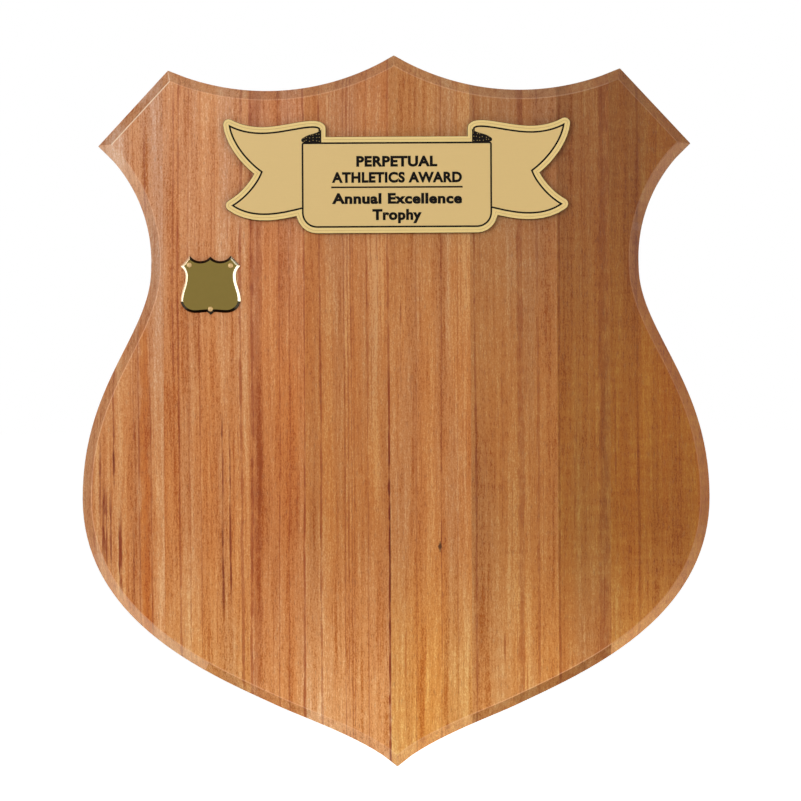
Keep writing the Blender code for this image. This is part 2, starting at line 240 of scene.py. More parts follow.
class Graph(Tree):
    """The node tree of one material."""

    def __init__(self, name: str) -> None:
        """Start a material.

        Args:
            name: The material's name.
        """
        self.material = bpy.data.materials.new(name)
        self.material.use_nodes = True
        super().__init__(self.material.node_tree)
        self.shader = self.tree.nodes["Principled BSDF"]

    def place(self) -> tuple[Wire, Wire, Wire]:
        """The x, y and z of a point in the row frame."""
        point = self.add("ShaderNodeTexCoord", {}, {}, "Object")
        return (
            self.add("ShaderNodeSeparateXYZ", {}, {0: point}, "X"),
            self.add("ShaderNodeSeparateXYZ", {}, {0: point}, "Y"),
            self.add("ShaderNodeSeparateXYZ", {}, {0: point}, "Z"),
        )

    def vector(self, x: Feed, y: Feed, z: Feed) -> Wire:
        """Three values as one vector."""
        return self.add("ShaderNodeCombineXYZ", {}, {0: x, 1: y, 2: z})

    def noise(self, vector: Wire, detail: float = 2.0, roughness: float = 0.5) -> Wire:
        """Cloud noise, which stays near 0.5.

        Args:
            vector: The scaled place.
            detail: How many finer layers it has.
            roughness: How strong the finer layers are.

        Returns:
            A value from 0 to 1.
        """
        return self.add(
            "ShaderNodeTexNoise",
            {},
            {"Vector": vector, "Scale": 1.0, "Detail": detail, "Roughness": roughness},
        )

    def mix(self, share: Feed, first: Feed, second: Feed, blend: str = "MIX") -> Wire:
        """Mix two colours.

        Args:
            share: How much of the second colour is in the mix.
            first: The first colour.
            second: The second colour.
            blend: How the second acts on the first.

        Returns:
            The mixed colour.
        """
        settings = {"data_type": "RGBA", "blend_type": blend}
        return self.add("ShaderNodeMix", settings, {0: share, 6: first, 7: second}, 2)

    def tinted(self, colour: Feed, by: Feed) -> Wire:
        """A colour times a value or another colour, part by part."""
        return self.add("ShaderNodeVectorMath", {"operation": "MULTIPLY"}, {0: colour, 1: by})

    def bump(self, height: Wire, depth: float) -> None:
        """Raise the shader's surface by a height.

        Args:
            height: The height, from 0 to 1.
            depth: What a height of 1 is in metres.
        """
        normal = self.add(
            "ShaderNodeBump", {}, {"Strength": 1.0, "Distance": depth, "Height": height}
        )
        self.surface({"Normal": normal})

    def surface(self, feeds: Mapping[str, Feed]) -> None:
        """Set or link inputs of the material's own shader.

        Args:
            feeds: The value or wire of each input.
        """
        for name, feed in feeds.items():
            self.feed(self.shader.inputs[name], feed)


# --- Finishes ---


@dataclass(frozen=True)
class Finish:
    """A finish that pieces are dressed in."""

    name: str
    slot: Slot

    def paint(self, graph: Graph) -> None:
        """Lay the finish out on a graph."""
        raise NotImplementedError

    def material(self) -> bpy.types.Material:
        """The finish's material, which is made the first time that it is asked for."""
        made = bpy.data.materials.get(self.name)
        if made is None:
            graph = Graph(self.name)
            self.paint(graph)
            made = graph.material
        return made


class Grain(Enum):
    """The kinds of line in the grain, as shades of the timber round them."""

    BURNT = (0.37, 0.10, 0.01)
    DARK = (0.50, 0.17, 0.03)
    PALE = (1.14, 1.28, 1.50)
    ORANGE = (0.93, 0.68, 0.30)


class Way(Enum):
    """The ways through the timber, as the places of x, y and z in a point."""

    ACROSS = 0
    DEEP = 1
    UP = 2


@dataclass(frozen=True)
class Pattern:
    """A noise in the timber: how often it changes each way per metre, and how rough it is.

    A stave's own seed shifts it along one way, so that no two staves are alike.
    """

    across: float
    deep: float
    up: float
    detail: float
    roughness: float = 0.5
    seeded: Way | None = None


GROWTH = Pattern(150.0, 60.0, 3.0, 4.0, 0.62, Way.ACROSS)
STRAND = Pattern(640.0, 200.0, 22.0, 2.0, 0.6, Way.UP)
FIBRE = Pattern(1700.0, 700.0, 380.0, 2.0, 0.65, Way.UP)
GRIT = Pattern(1500.0, 1500.0, 1000.0, 1.0)
CLOUD = Pattern(30.0, 12.0, 11.0, 2.0, 0.5, Way.DEEP)
WARMTH = Pattern(75.0, 30.0, 5.0, 2.0, 0.5, Way.ACROSS)
RIPPLE = Pattern(55.0, 40.0, 260.0, 2.0, 0.55, Way.ACROSS)
BROKEN = Pattern(260.0, 0.0, 75.0, 2.0, 0.65, Way.DEEP)
VEIN = Pattern(1150.0, 300.0, 9.0, 1.0, 0.5, Way.ACROSS)
DASH = Pattern(420.0, 100.0, 60.0, 1.0, 0.5, Way.UP)
PORE = Pattern(2400.0, 900.0, 210.0, 1.0, 0.5, Way.UP)
SLOW_SWAY = Pattern(3.0, 3.0, 4.0, 1.0, 0.5, Way.ACROSS)
QUICK_SWAY = Pattern(25.0, 20.0, 38.0, 2.0, 0.5, Way.ACROSS)

# A streak that ends this far from the middle of the board or further runs off its end
RUNS_OFF = 0.19
STREAK_FADE = 0.010


@dataclass(frozen=True)
class Streak:
    """One line in the grain, in metres from the middle of the board."""

    x: float
    width: float
    depth: float
    top: float = 0.20
    foot: float = -0.20
    grain: Grain = Grain.DARK


@dataclass(frozen=True)
class Knot:
    """A small dark pin knot, in metres from the middle of the board."""

    x: float
    z: float
    width: float
    height: float


@dataclass(frozen=True)
class Timber(Finish):
    """Lacquered straight-grained timber, of one stave's own tone and grain lines."""

    top_tone: Colour
    middle_tone: Colour
    # Lighter than the middle, partly as painted light
    foot_tone_and_light: Colour
    seed: float
    streaks: tuple[Streak, ...] = ()
    knots: tuple[Knot, ...] = ()
    contrast: float = 1.0
    ripple: float = 0.0
    veining: float = 0.45

    rich_shade: ClassVar[Colour] = (0.65, 0.38, 0.08)
    pale_shade: ClassVar[Colour] = (1.26, 1.76, 2.55)
    warm_shade: ClassVar[Colour] = (1.03, 0.97, 0.82)
    cool_shade: ClassVar[Colour] = (0.98, 1.02, 1.12)
    vein_shade: ClassVar[Colour] = (0.60, 0.28, 0.05)
    knot_shade: ClassVar[Colour] = (0.10, 0.06, 0.04)
    # The colour of the painted highlights on the cuts and arrises
    highlight_tone: ClassVar[Colour] = tint(240, 214, 184)

    def paint(self, graph: Graph) -> None:
        """Lay out the tone, growth lines, fibres, veins, pores and lacquer.

        Args:
            graph: The material's graph.
        """
        place = graph.place()
        grain = (self.swayed(graph, place), *place[1:])
        height = place[2] - BOARD_CENTRE[1]
        growth = self.noise(graph, grain, GROWTH)
        fibre = self.noise(graph, grain, FIBRE)
        grit = self.noise(graph, place, GRIT)
        tone = (
            0.5
            + (growth - 0.5) * (1.2 * self.contrast)
            + (self.noise(graph, grain, STRAND) - 0.5) * (0.9 * self.contrast)
            + (fibre - 0.5) * 0.95
            + (grit - 0.5) * 0.75
            + (self.noise(graph, place, CLOUD) - 0.5) * 0.4
        )
        if self.ripple:
            tone = tone + (self.noise(graph, place, RIPPLE) - 0.5) * self.ripple
        base = self.base_colour(graph, grain, height)
        rich = graph.mix(tone.between(0.52, 0.0), WHITE, self.rich_shade)
        pale = graph.mix(tone.between(0.48, 1.0), WHITE, self.pale_shade)
        colour = graph.tinted(graph.tinted(base, rich), pale)
        vein = self.noise(graph, grain, VEIN).between(0.58, 0.70)
        veins = vein * self.noise(graph, grain, DASH).between(0.40, 0.62) * self.veining
        colour = graph.mix(veins, colour, graph.tinted(base, self.vein_shade))
        broken = self.noise(graph, grain, BROKEN)
        for streak in self.streaks:
            mask = self.streak_mask(grain[0], height, broken, streak)
            lined = graph.tinted(colour, streak.grain.value)
            colour = graph.mix(mask * streak.depth, colour, lined)
        for knot in self.knots:
            mask = self.knot_mask(grain[0], height, grit, knot)
            colour = graph.mix(mask * 0.9, colour, graph.tinted(base, self.knot_shade))
        pore = self.noise(graph, grain, PORE).between(0.62, 0.72)
        self.lacquer(graph, graph.tinted(colour, 1 - pore * 0.25), fibre, pore)
        graph.bump(fibre * 0.35 + growth * 0.25 - pore * 0.6, 0.00010)

    def noise(self, graph: Graph, place: Sequence[Wire], pattern: Pattern) -> Wire:
        """One of the timber's patterns, shifted by the stave's own seed.

        Args:
            graph: The material's graph.
            place: The place across, into and up the timber.
            pattern: The pattern.

        Returns:
            A value from 0 to 1, which stays near 0.5.
        """
        scales = (pattern.across, pattern.deep, pattern.up)
        parts = [part * scale for part, scale in zip(place, scales)]
        if pattern.seeded is not None:
            parts[pattern.seeded.value] += self.seed
        return graph.noise(graph.vector(*parts), pattern.detail, pattern.roughness)

    def base_colour(self, graph: Graph, grain: Sequence[Wire], height: Wire) -> Wire:
        """The stave's own tone, which drifts warmer and cooler, and changes up the board partly
        as painted light, lighter towards the foot.

        Args:
            graph: The material's graph.
            grain: The place in the swayed grain.
            height: The place up the board, from its middle.

        Returns:
            The colour under the grain lines.
        """
        base = graph.mix(height.between(-0.02, 0.15), self.middle_tone, self.top_tone)
        # Lighter towards the foot, partly as painted light
        base = graph.mix(height.between(-0.05, -0.175), base, self.foot_tone_and_light)
        warmth = self.noise(graph, grain, WARMTH).between(0.35, 0.65)
        return graph.tinted(base, graph.mix(warmth, self.cool_shade, self.warm_shade))

    def lacquer(self, graph: Graph, colour: Wire, fibre: Wire, pore: Wire) -> None:
        """Lay the lacquer over the wood, thinner and duller where the wood was sawn, and paint
        the cuts' light, shade and highlights into its colour.

        Args:
            graph: The material's graph.
            colour: The wood's colour.
            fibre: The fibres.
            pore: Where the pores are.
        """
        # The cuts' tone with painted light and shade, and their painted highlights
        cut = graph.add("ShaderNodeAttribute", {"attribute_name": "cut_tone"}, {}, "Fac")
        highlight_share = graph.add("ShaderNodeAttribute", {"attribute_name": "cut_pale"}, {}, "Fac")
        sawn = abs(cut - 1.0).between(0.0, 0.03)
        graph.surface(
            {
                "Base Color": graph.mix(highlight_share, graph.tinted(colour, cut), self.highlight_tone),
                "Roughness": 0.42 + (fibre - 0.5) * 0.15 + pore * 0.15 + sawn * 0.25,
                "Specular IOR Level": 0.30,
                "Coat Weight": 0.15 - sawn * 0.14,
                "Coat Roughness": 0.24,
            }
        )

    def swayed(self, graph: Graph, place: Sequence[Wire]) -> Wire:
        """The place across the grain, which wanders a little up the board.

        Args:
            graph: The material's graph.
            place: The place across, into and up the timber.

        Returns:
            The place across the grain, in metres.
        """
        slow = self.noise(graph, place, SLOW_SWAY)
        quick = self.noise(graph, place, QUICK_SWAY)
        return place[0] + (slow - 0.5) * 0.004 + (quick - 0.5) * 0.0009

    @staticmethod
    def knot_mask(across: Wire, height: Wire, grit: Wire, knot: Knot) -> Wire:
        """Where one knot lies.

        Args:
            across: The place across the grain.
            height: The place up the board, from its middle.
            grit: Fine noise that roughens the knot's edge.
            knot: The knot.

        Returns:
            A value that is 1 in its middle and 0 beside it.
        """
        aside = abs(across - knot.x) * (2 / knot.width)
        near = aside + abs(height - knot.z) * (2 / knot.height)
        return 1 - (near + (grit - 0.5) * 0.8).between(0.45, 1.1)

    @staticmethod
    def streak_mask(across: Wire, height: Wire, broken: Wire, streak: Streak) -> Wire:
        """Where one streak lies.

        Args:
            across: The place across the grain.
            height: The place up the board, from its middle.
            broken: Noise that thins the streak here and there.
            streak: The streak.

        Returns:
            A value that is 1 in its middle and 0 beside it.
        """
        half = streak.width / 2
        reach = abs(across - streak.x) + (0.5 - broken) * (streak.width * 0.8)
        mask = 1 - reach.between(half * 0.45, half)
        fade = STREAK_FADE
        if streak.foot > -RUNS_OFF:
            mask = mask * height.between(streak.foot - fade, streak.foot + fade)
        if streak.top < RUNS_OFF:
            mask = mask * height.between(streak.top + fade, streak.top - fade)
        return mask * (0.40 + broken.between(0.32, 0.56) * 0.60)


@dataclass(frozen=True)
class GoldLaminate(Finish):
    """Satin gold engraving laminate, brushed very finely."""

    colour: Colour

    def paint(self, graph: Graph) -> None:
        """Lay out the brushed satin cap.

        Args:
            graph: The material's graph.
        """
        x, y, z = graph.place()
        brushed = graph.noise(graph.vector(x * 90.0, y * 50.0, z * 5200.0), 2.0, 0.6)
        mottle = graph.noise(graph.vector(x * 900.0, y * 50.0, z * 900.0), 2.0, 0.6)
        shade = 0.955 + brushed * 0.06 + mottle * 0.03
        graph.surface(
            {
                "Base Color": graph.tinted(self.colour, shade),
                "Roughness": 0.42 + (brushed - 0.5) * 0.12,
                "Coat Weight": 0.12,
                "Coat Roughness": 0.3,
            }
        )
        graph.bump(brushed, 0.000008)


@dataclass(frozen=True)
class BlackCore(Finish):
    """The laminate's black core, which shows at its cut edges and in its engraved lines."""

    speckle: float = 0.0

    def paint(self, graph: Graph) -> None:
        """Lay out a dull black with an optional speckle of the gold above it.

        Args:
            graph: The material's graph.
        """
        x, y, z = graph.place()
        grain = graph.noise(graph.vector(x * 3800.0, y * 3800.0, z * 3800.0), 1.0, 0.5)
        black = graph.mix(grain, (0.004, 0.003, 0.003), (0.012, 0.010, 0.008))
        if self.speckle:
            dots = graph.add(
                "ShaderNodeTexVoronoi",
                {"voronoi_dimensions": "2D"},
                {"Vector": graph.vector(x, z, 0.0), "Scale": 600.0, "Randomness": 0.45},
                "Distance",
            )
            mask = dots.between(0.17, 0.07) * self.speckle
            black = graph.mix(mask, black, tint(196, 166, 104))
        graph.surface(
            {"Base Color": black, "Roughness": 0.55 + grain * 0.15, "Specular IOR Level": 0.06}
        )
        graph.bump(grain, 0.00001)


@dataclass(frozen=True)
class Metal(Finish):
    """A polished, plated or turned metal."""

    colour: Colour
    roughness: float
    wear: float = 0.1
    brushing: float = 0.0
    depth: float = 0.000002
    metallic: float = 1.0

    def paint(self, graph: Graph) -> None:
        """Lay out the metal with its smears, fine scratches and brushing.

        Args:
            graph: The material's graph.
        """
        x, y, z = graph.place()
        smear = graph.noise(graph.vector(x * 160.0, y * 160.0, z * 160.0), 3.0, 0.6)
        scratch = graph.noise(graph.vector(x * 9000.0, y * 400.0, z * 500.0), 2.0, 0.6)
        rub = graph.noise(graph.vector(x * 260.0, y * 4000.0, z * 6500.0), 2.0, 0.6)
        tone = 1 - (smear - 0.5) * self.wear - (scratch.between(0.62, 0.72)) * (self.wear * 0.3)
        graph.surface(
            {
                "Base Color": graph.tinted(self.colour, tone),
                "Metallic": self.metallic,
                "Roughness": self.roughness
                + (smear - 0.4) * (self.wear * 0.4)
                + (rub - 0.5) * self.brushing,
            }
        )
        graph.bump(scratch * 0.3 + rub * (0.2 + self.brushing), self.depth)


@dataclass(frozen=True)
class Rubber(Finish):
    """Moulded black rubber with a fine matt skin and a little dust."""

    colour: Colour

    def paint(self, graph: Graph) -> None:
        """Lay out the matt skin.

        Args:
            graph: The material's graph.
        """
        x, y, z = graph.place()
        skin = graph.noise(graph.vector(x * 2600.0, y * 2600.0, z * 2600.0), 2.0, 0.6)
        dust = graph.noise(graph.vector(x * 420.0, y * 420.0, z * 420.0), 3.0, 0.7)
        colour = graph.mix(dust.between(0.52, 0.80) * 0.5, self.colour, (0.11, 0.105, 0.10))
        graph.surface({"Base Color": colour, "Roughness": 0.62 + skin * 0.25})
        graph.bump(skin, 0.00004)


@dataclass(frozen=True)
class FoamTape(Finish):
    """Double-sided foam tape, with its open cells at the edge."""

    colour: Colour

    def paint(self, graph: Graph) -> None:
        """Lay out the foam and its cells, painted darker in their pits as shade.

        Args:
            graph: The material's graph.
        """
        x, y, z = graph.place()
        cells = graph.add(
            "ShaderNodeTexVoronoi",
            {},
            {"Vector": graph.vector(x * 5200.0, y * 5200.0, z * 5200.0), "Scale": 1.0},
            "Distance",
        )
        # Darker in the cells' pits: painted shade
        shade = 0.72 + cells * 0.4
        graph.surface({"Base Color": graph.tinted(self.colour, shade), "Roughness": 0.85})
        graph.bump(cells, 0.00005)


PLATE_FACE = GoldLaminate("plate_face_gold", Slot.GOLD_LAMINATE, tint(213, 181, 117))
PLATE_RIM = GoldLaminate("plate_rim_gold", Slot.GOLD_LAMINATE, tint(226, 196, 126))
# Darker gold in the rim's groove: painted shade
PLATE_GROOVE_SHADE = GoldLaminate("plate_groove_shaded_gold", Slot.GOLD_LAMINATE, tint(172, 142, 86))
PLATE_CORE = BlackCore("plate_black_core", Slot.GOLD_LAMINATE)
PLATE_FOLD = BlackCore("plate_fold_shadow", Slot.GOLD_LAMINATE, speckle=0.75)
SHIELD_BRASS = Metal("mirror_brass", Slot.BRASS, (0.86, 0.62, 0.16), 0.07, wear=0.12)
# Near-black brass on the shield's lower and top bevels: painted shade, the dark that they reflect
SHADED_BEVEL_BRASS = Metal("shield_bevel_painted_shade", Slot.BRASS, (0.045, 0.038, 0.024), 0.25, wear=0.12)
CUT_BRASS = Metal("cut_brass", Slot.BRASS, (0.93, 0.84, 0.58), 0.10, wear=0.12)
PIN_BRASS = Metal(
    "domed_pin_satin", Slot.PIN_BRASS, tint(212, 176, 118), 0.42, wear=0.15, metallic=0.15
)
STRAP_BRASS = Metal(
    "strap_brass", Slot.HANGER_BRASS, (0.80, 0.60, 0.27), 0.26, wear=0.35, brushing=0.16
)
RING_BRASS = Metal(
    "ring_brass", Slot.HANGER_BRASS, (0.83, 0.63, 0.29), 0.20, wear=0.30, brushing=0.05
)
SCREW_BRASS = Metal(
    "screw_brass_plate", Slot.SCREW_STEEL, (0.78, 0.62, 0.34), 0.30, wear=0.35, brushing=0.08
)
BUMPER_RUBBER = Rubber("bumper_rubber", Slot.RUBBER, (0.022, 0.022, 0.024))
TAPE_FOAM = FoamTape("foam_tape", Slot.TAPE, (0.72, 0.71, 0.68))


# --- Outlines and workpieces ---


class Outline:
    """A flat outline, drawn as a run of points (x, z)."""

    def __init__(self, x: float, z: float) -> None:
        """Put the pencil down.

        Args:
            x: The first point's x.
            z: The first point's z.
        """
        self.points = [Vector((x, z))]

    def line(self, x: float, z: float) -> "Outline":
        """Go on straight to a point."""
        self.points.append(Vector((x, z)))
        return self

    def curve(
        self, leaving: Point, arriving: Point, end: Point, steps: int, room: int = 1
    ) -> "Outline":
        """Go on along one cubic curve.

        Args:
            leaving: The handle at its start.
            arriving: The handle at its end.
            end: Its end.
            steps: How many straight steps stand for it.
            room: How many of its first steps are one, so that a bevel fits the corner there.

        Returns:
            The same outline.
        """
        start = self.points[-1]
        run = interpolate_bezier(
            start, Vector(leaving), Vector(arriving), Vector(end), steps + 1
        )
        self.points += [point.to_2d() for point in run[room:]]
        return self

    def arc(
        self, end: Point, rise: float, steps: int, room: int = 1, end_room: int = 1
    ) -> "Outline":
        """Go on along a circular arc.

        Args:
            end: Its end.
            rise: How far it bows out to the left of the straight way; less than 0 bows right.
            steps: How many straight steps stand for it.
            room: How many of its first steps are one, so that a bevel fits the corner there.
            end_room: How many of its last steps are one.

        Returns:
            The same outline.
        """
        start, goal = self.points[-1], Vector(end)
        chord = goal - start
        left = Vector((-chord.y, chord.x)).normalized()
        radius = (chord.length**2 / 4 + rise**2) / (2 * abs(rise))
        centre = (start + goal) / 2 + left * (rise - math.copysign(radius, rise))
        first = start - centre
        turn = first.angle_signed(goal - centre)
        self.points += [
            centre + Matrix.Rotation(-turn * step / steps, 2) @ first
            for step in [*range(room, steps - end_room + 1), steps]
        ]
        return self

    def whole(self) -> list[Vector]:
        """Both halves of an outline whose right half runs from one point on x = 0 to another."""
        left = [Vector((-point.x, point.y)) for point in reversed(self.points[1:-1])]
        return self.points + left

    def across(self) -> list[Vector]:
        """The outline's mirror image."""
        return [Vector((-point.x, point.y)) for point in reversed(self.points)]


class Workpiece:
    """A piece in the making, with the tools that saw, turn, bevel and inset it."""

    def __init__(self) -> None:
        """Start with an empty bench."""
        self.bm = bmesh.new()

    @staticmethod
    def verts_of(geometry: Sequence[object]) -> list[BMVert]:
        """The vertices among some geometry."""
        return [item for item in geometry if isinstance(item, BMVert)]

    @staticmethod
    def edges_of(geometry: Sequence[object]) -> list[BMEdge]:
        """The edges among some geometry."""
        return [item for item in geometry if isinstance(item, BMEdge)]

    def lay(self, outline: Sequence[Vector], centre: Point, y: float) -> BMFace:
        """Lay an outline down as one flat face.

        Args:
            outline: Its points.
            centre: Where its own origin lies.
            y: Its depth.

        Returns:
            The face.
        """
        verts = [
            self.bm.verts.new((centre[0] + point.x, y, centre[1] + point.y))
            for point in outline
        ]
        face = self.bm.faces.new(verts)
        face.normal_update()
        return face

    def saw(
        self, outline: Sequence[Vector], centre: Point, back_y: float, front_y: float
    ) -> "Workpiece":
        """Saw a blank of an outline.

        Args:
            outline: Its points.
            centre: Where its own origin lies.
            back_y: The depth of its back.
            front_y: The depth of its front.

        Returns:
            The same workpiece.
        """
        back = self.lay(outline, centre, back_y)
        self.thicken([back], front_y - back_y)
        return self

    def thicken(self, faces: Sequence[BMFace], depth: float) -> None:
        """Draw faces out along Y into a solid.

        Args:
            faces: The faces.
            depth: How far.
        """
        grown = bmesh.ops.extrude_face_region(self.bm, geom=list(faces))
        bmesh.ops.translate(
            self.bm, verts=self.verts_of(grown["geom"]), vec=(0.0, depth, 0.0)
        )
        bmesh.ops.recalc_face_normals(self.bm, faces=self.bm.faces)

    def loop_at(self, y: float) -> list[BMEdge]:
        """The edges that lie in one plane across the depth."""
        return [
            edge for edge in self.bm.edges if all(abs(v.co.y - y) < HAIR for v in edge.verts)
        ]

    def corners(self, degrees: float) -> list[BMEdge]:
        """The edges where two faces meet at more than a bend."""
        return [
            edge for edge in self.bm.edges if edge.calc_face_angle(0.0) > math.radians(degrees)
        ]

    def bevel(self, edges: Sequence[BMEdge], width: float, segments: int = 1) -> None:
        """Bevel or round some edges.

        Args:
            edges: The edges.
            width: The bevel's width along each face.
            segments: How many facets it has.
        """
        bmesh.ops.bevel(
            self.bm,
            geom=list(edges),
            offset=width,
            offset_type="OFFSET",
            affect="EDGES",
            segments=segments,
            profile=0.5,
            material=-1,
        )

    def trim(self, x: float, outwards: float) -> None:
        """Saw off what lies beyond a plane across X, and close the cut.

        Args:
            x: Where the plane lies.
            outwards: 1 to take away what is right of it, -1 what is left of it.
        """
        cut = bmesh.ops.bisect_plane(
            self.bm,
            geom=self.bm.verts[:] + self.bm.edges[:] + self.bm.faces[:],
            dist=1e-7,
            plane_co=(x, 0.0, 0.0),
            plane_no=(outwards, 0.0, 0.0),
            clear_outer=True,
        )
        rim = self.edges_of(cut["geom_cut"])
        if rim:
            bmesh.ops.edgeloop_fill(self.bm, edges=rim)

    def turn(self, profile: Sequence[Point], centre: Point, steps: int) -> "Workpiece":
        """Turn a round piece about an axis along Y.

        Args:
            profile: Its (radius, y) from one end of the axis to the other.
            centre: Where the axis lies.
            steps: How many facets go round it.

        Returns:
            The same workpiece.
        """
        verts = [self.bm.verts.new((centre[0] + r, y, centre[1])) for r, y in profile]
        edges = [self.bm.edges.new(pair) for pair in zip(verts, verts[1:])]
        bmesh.ops.spin(
            self.bm,
            geom=verts + edges,
            cent=(centre[0], 0.0, centre[1]),
            axis=(0.0, 1.0, 0.0),
            angle=math.tau,
            steps=steps,
            use_merge=True,
        )
        bmesh.ops.remove_doubles(self.bm, verts=self.bm.verts, dist=HAIR)
        bmesh.ops.recalc_face_normals(self.bm, faces=self.bm.faces)
        return self

    def shift(self, vector: Sequence[float]) -> "Workpiece":
        """Move the whole workpiece."""
        bmesh.ops.translate(self.bm, verts=self.bm.verts, vec=vector)
        return self

    def copy_node(self, node: str) -> "Workpiece":
        """Take a merged copy of a CAD node's mesh.

        Args:
            node: The node.

        Returns:
            The same workpiece.
        """
        self.bm.from_mesh(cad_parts[node].data)
        bmesh.ops.remove_doubles(self.bm, verts=self.bm.verts, dist=HAIR)
        bmesh.ops.dissolve_limit(
            self.bm,
            angle_limit=math.radians(0.5),
            verts=self.bm.verts,
            edges=self.bm.edges,
        )
        return self

    def finish(
        self,
        name: str,
        finishes: Sequence[Finish],
        body: Body,
        stands_for: Sequence[str] = (),
        sharp_degrees: float = 50.0,
        weighted: bool = False,
    ) -> bpy.types.Object:
        """Hand the workpiece over as a dressed piece that rides on its body.

        Args:
            name: The piece's name.
            finishes: Its finishes, in the order of its faces' material numbers.
            body: The body it rides on.
            stands_for: The CAD nodes it stands for.
            sharp_degrees: From which bend an edge stays sharp.
            weighted: Whether its wide faces keep their own direction up to their edges.

        Returns:
            The piece.
        """
        mesh = bpy.data.meshes.new(name)
        self.bm.to_mesh(mesh)
        self.bm.free()
        for finish in finishes:
            mesh.materials.append(finish.material())
        mesh.shade_smooth()
        mesh.set_sharp_from_angle(angle=math.radians(sharp_degrees))
        piece = bpy.data.objects.new(name, mesh)
        bpy.context.scene.collection.objects.link(piece)
        if weighted:
            modifier = piece.modifiers.new("even_faces", "WEIGHTED_NORMAL")
            modifier.keep_sharp = True
        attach(piece, body.value)
        if stands_for:
            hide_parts(*stands_for)
        LOG.info("%s: %d faces", name, len(mesh.polygons))
        return piece


# --- The board ---


@dataclass(frozen=True)
class Stave:
    """One glued stave: where it ends on the left and right, and its timber."""

    left: float
    right: float
    timber: Timber


@dataclass(frozen=True)
class CutToneAndShading:
    """How sawn wood looks: its brightness, partly the lacquer on end grain and partly painted
    light and shade, and how much painted highlight lies on it.
    """

    tone: float
    # How much of the painted highlight's colour is mixed in
    pale: float = 0.0

    def toward(self, other: "CutToneAndShading", share: float) -> "CutToneAndShading":
        """A look part of the way to another.

        Args:
            other: The other look.
            share: How far on the way, from 0 to 1.

        Returns:
            The look between them.
        """
        return CutToneAndShading(
            self.tone + (other.tone - self.tone) * share,
            self.pale + (other.pale - self.pale) * share,
        )


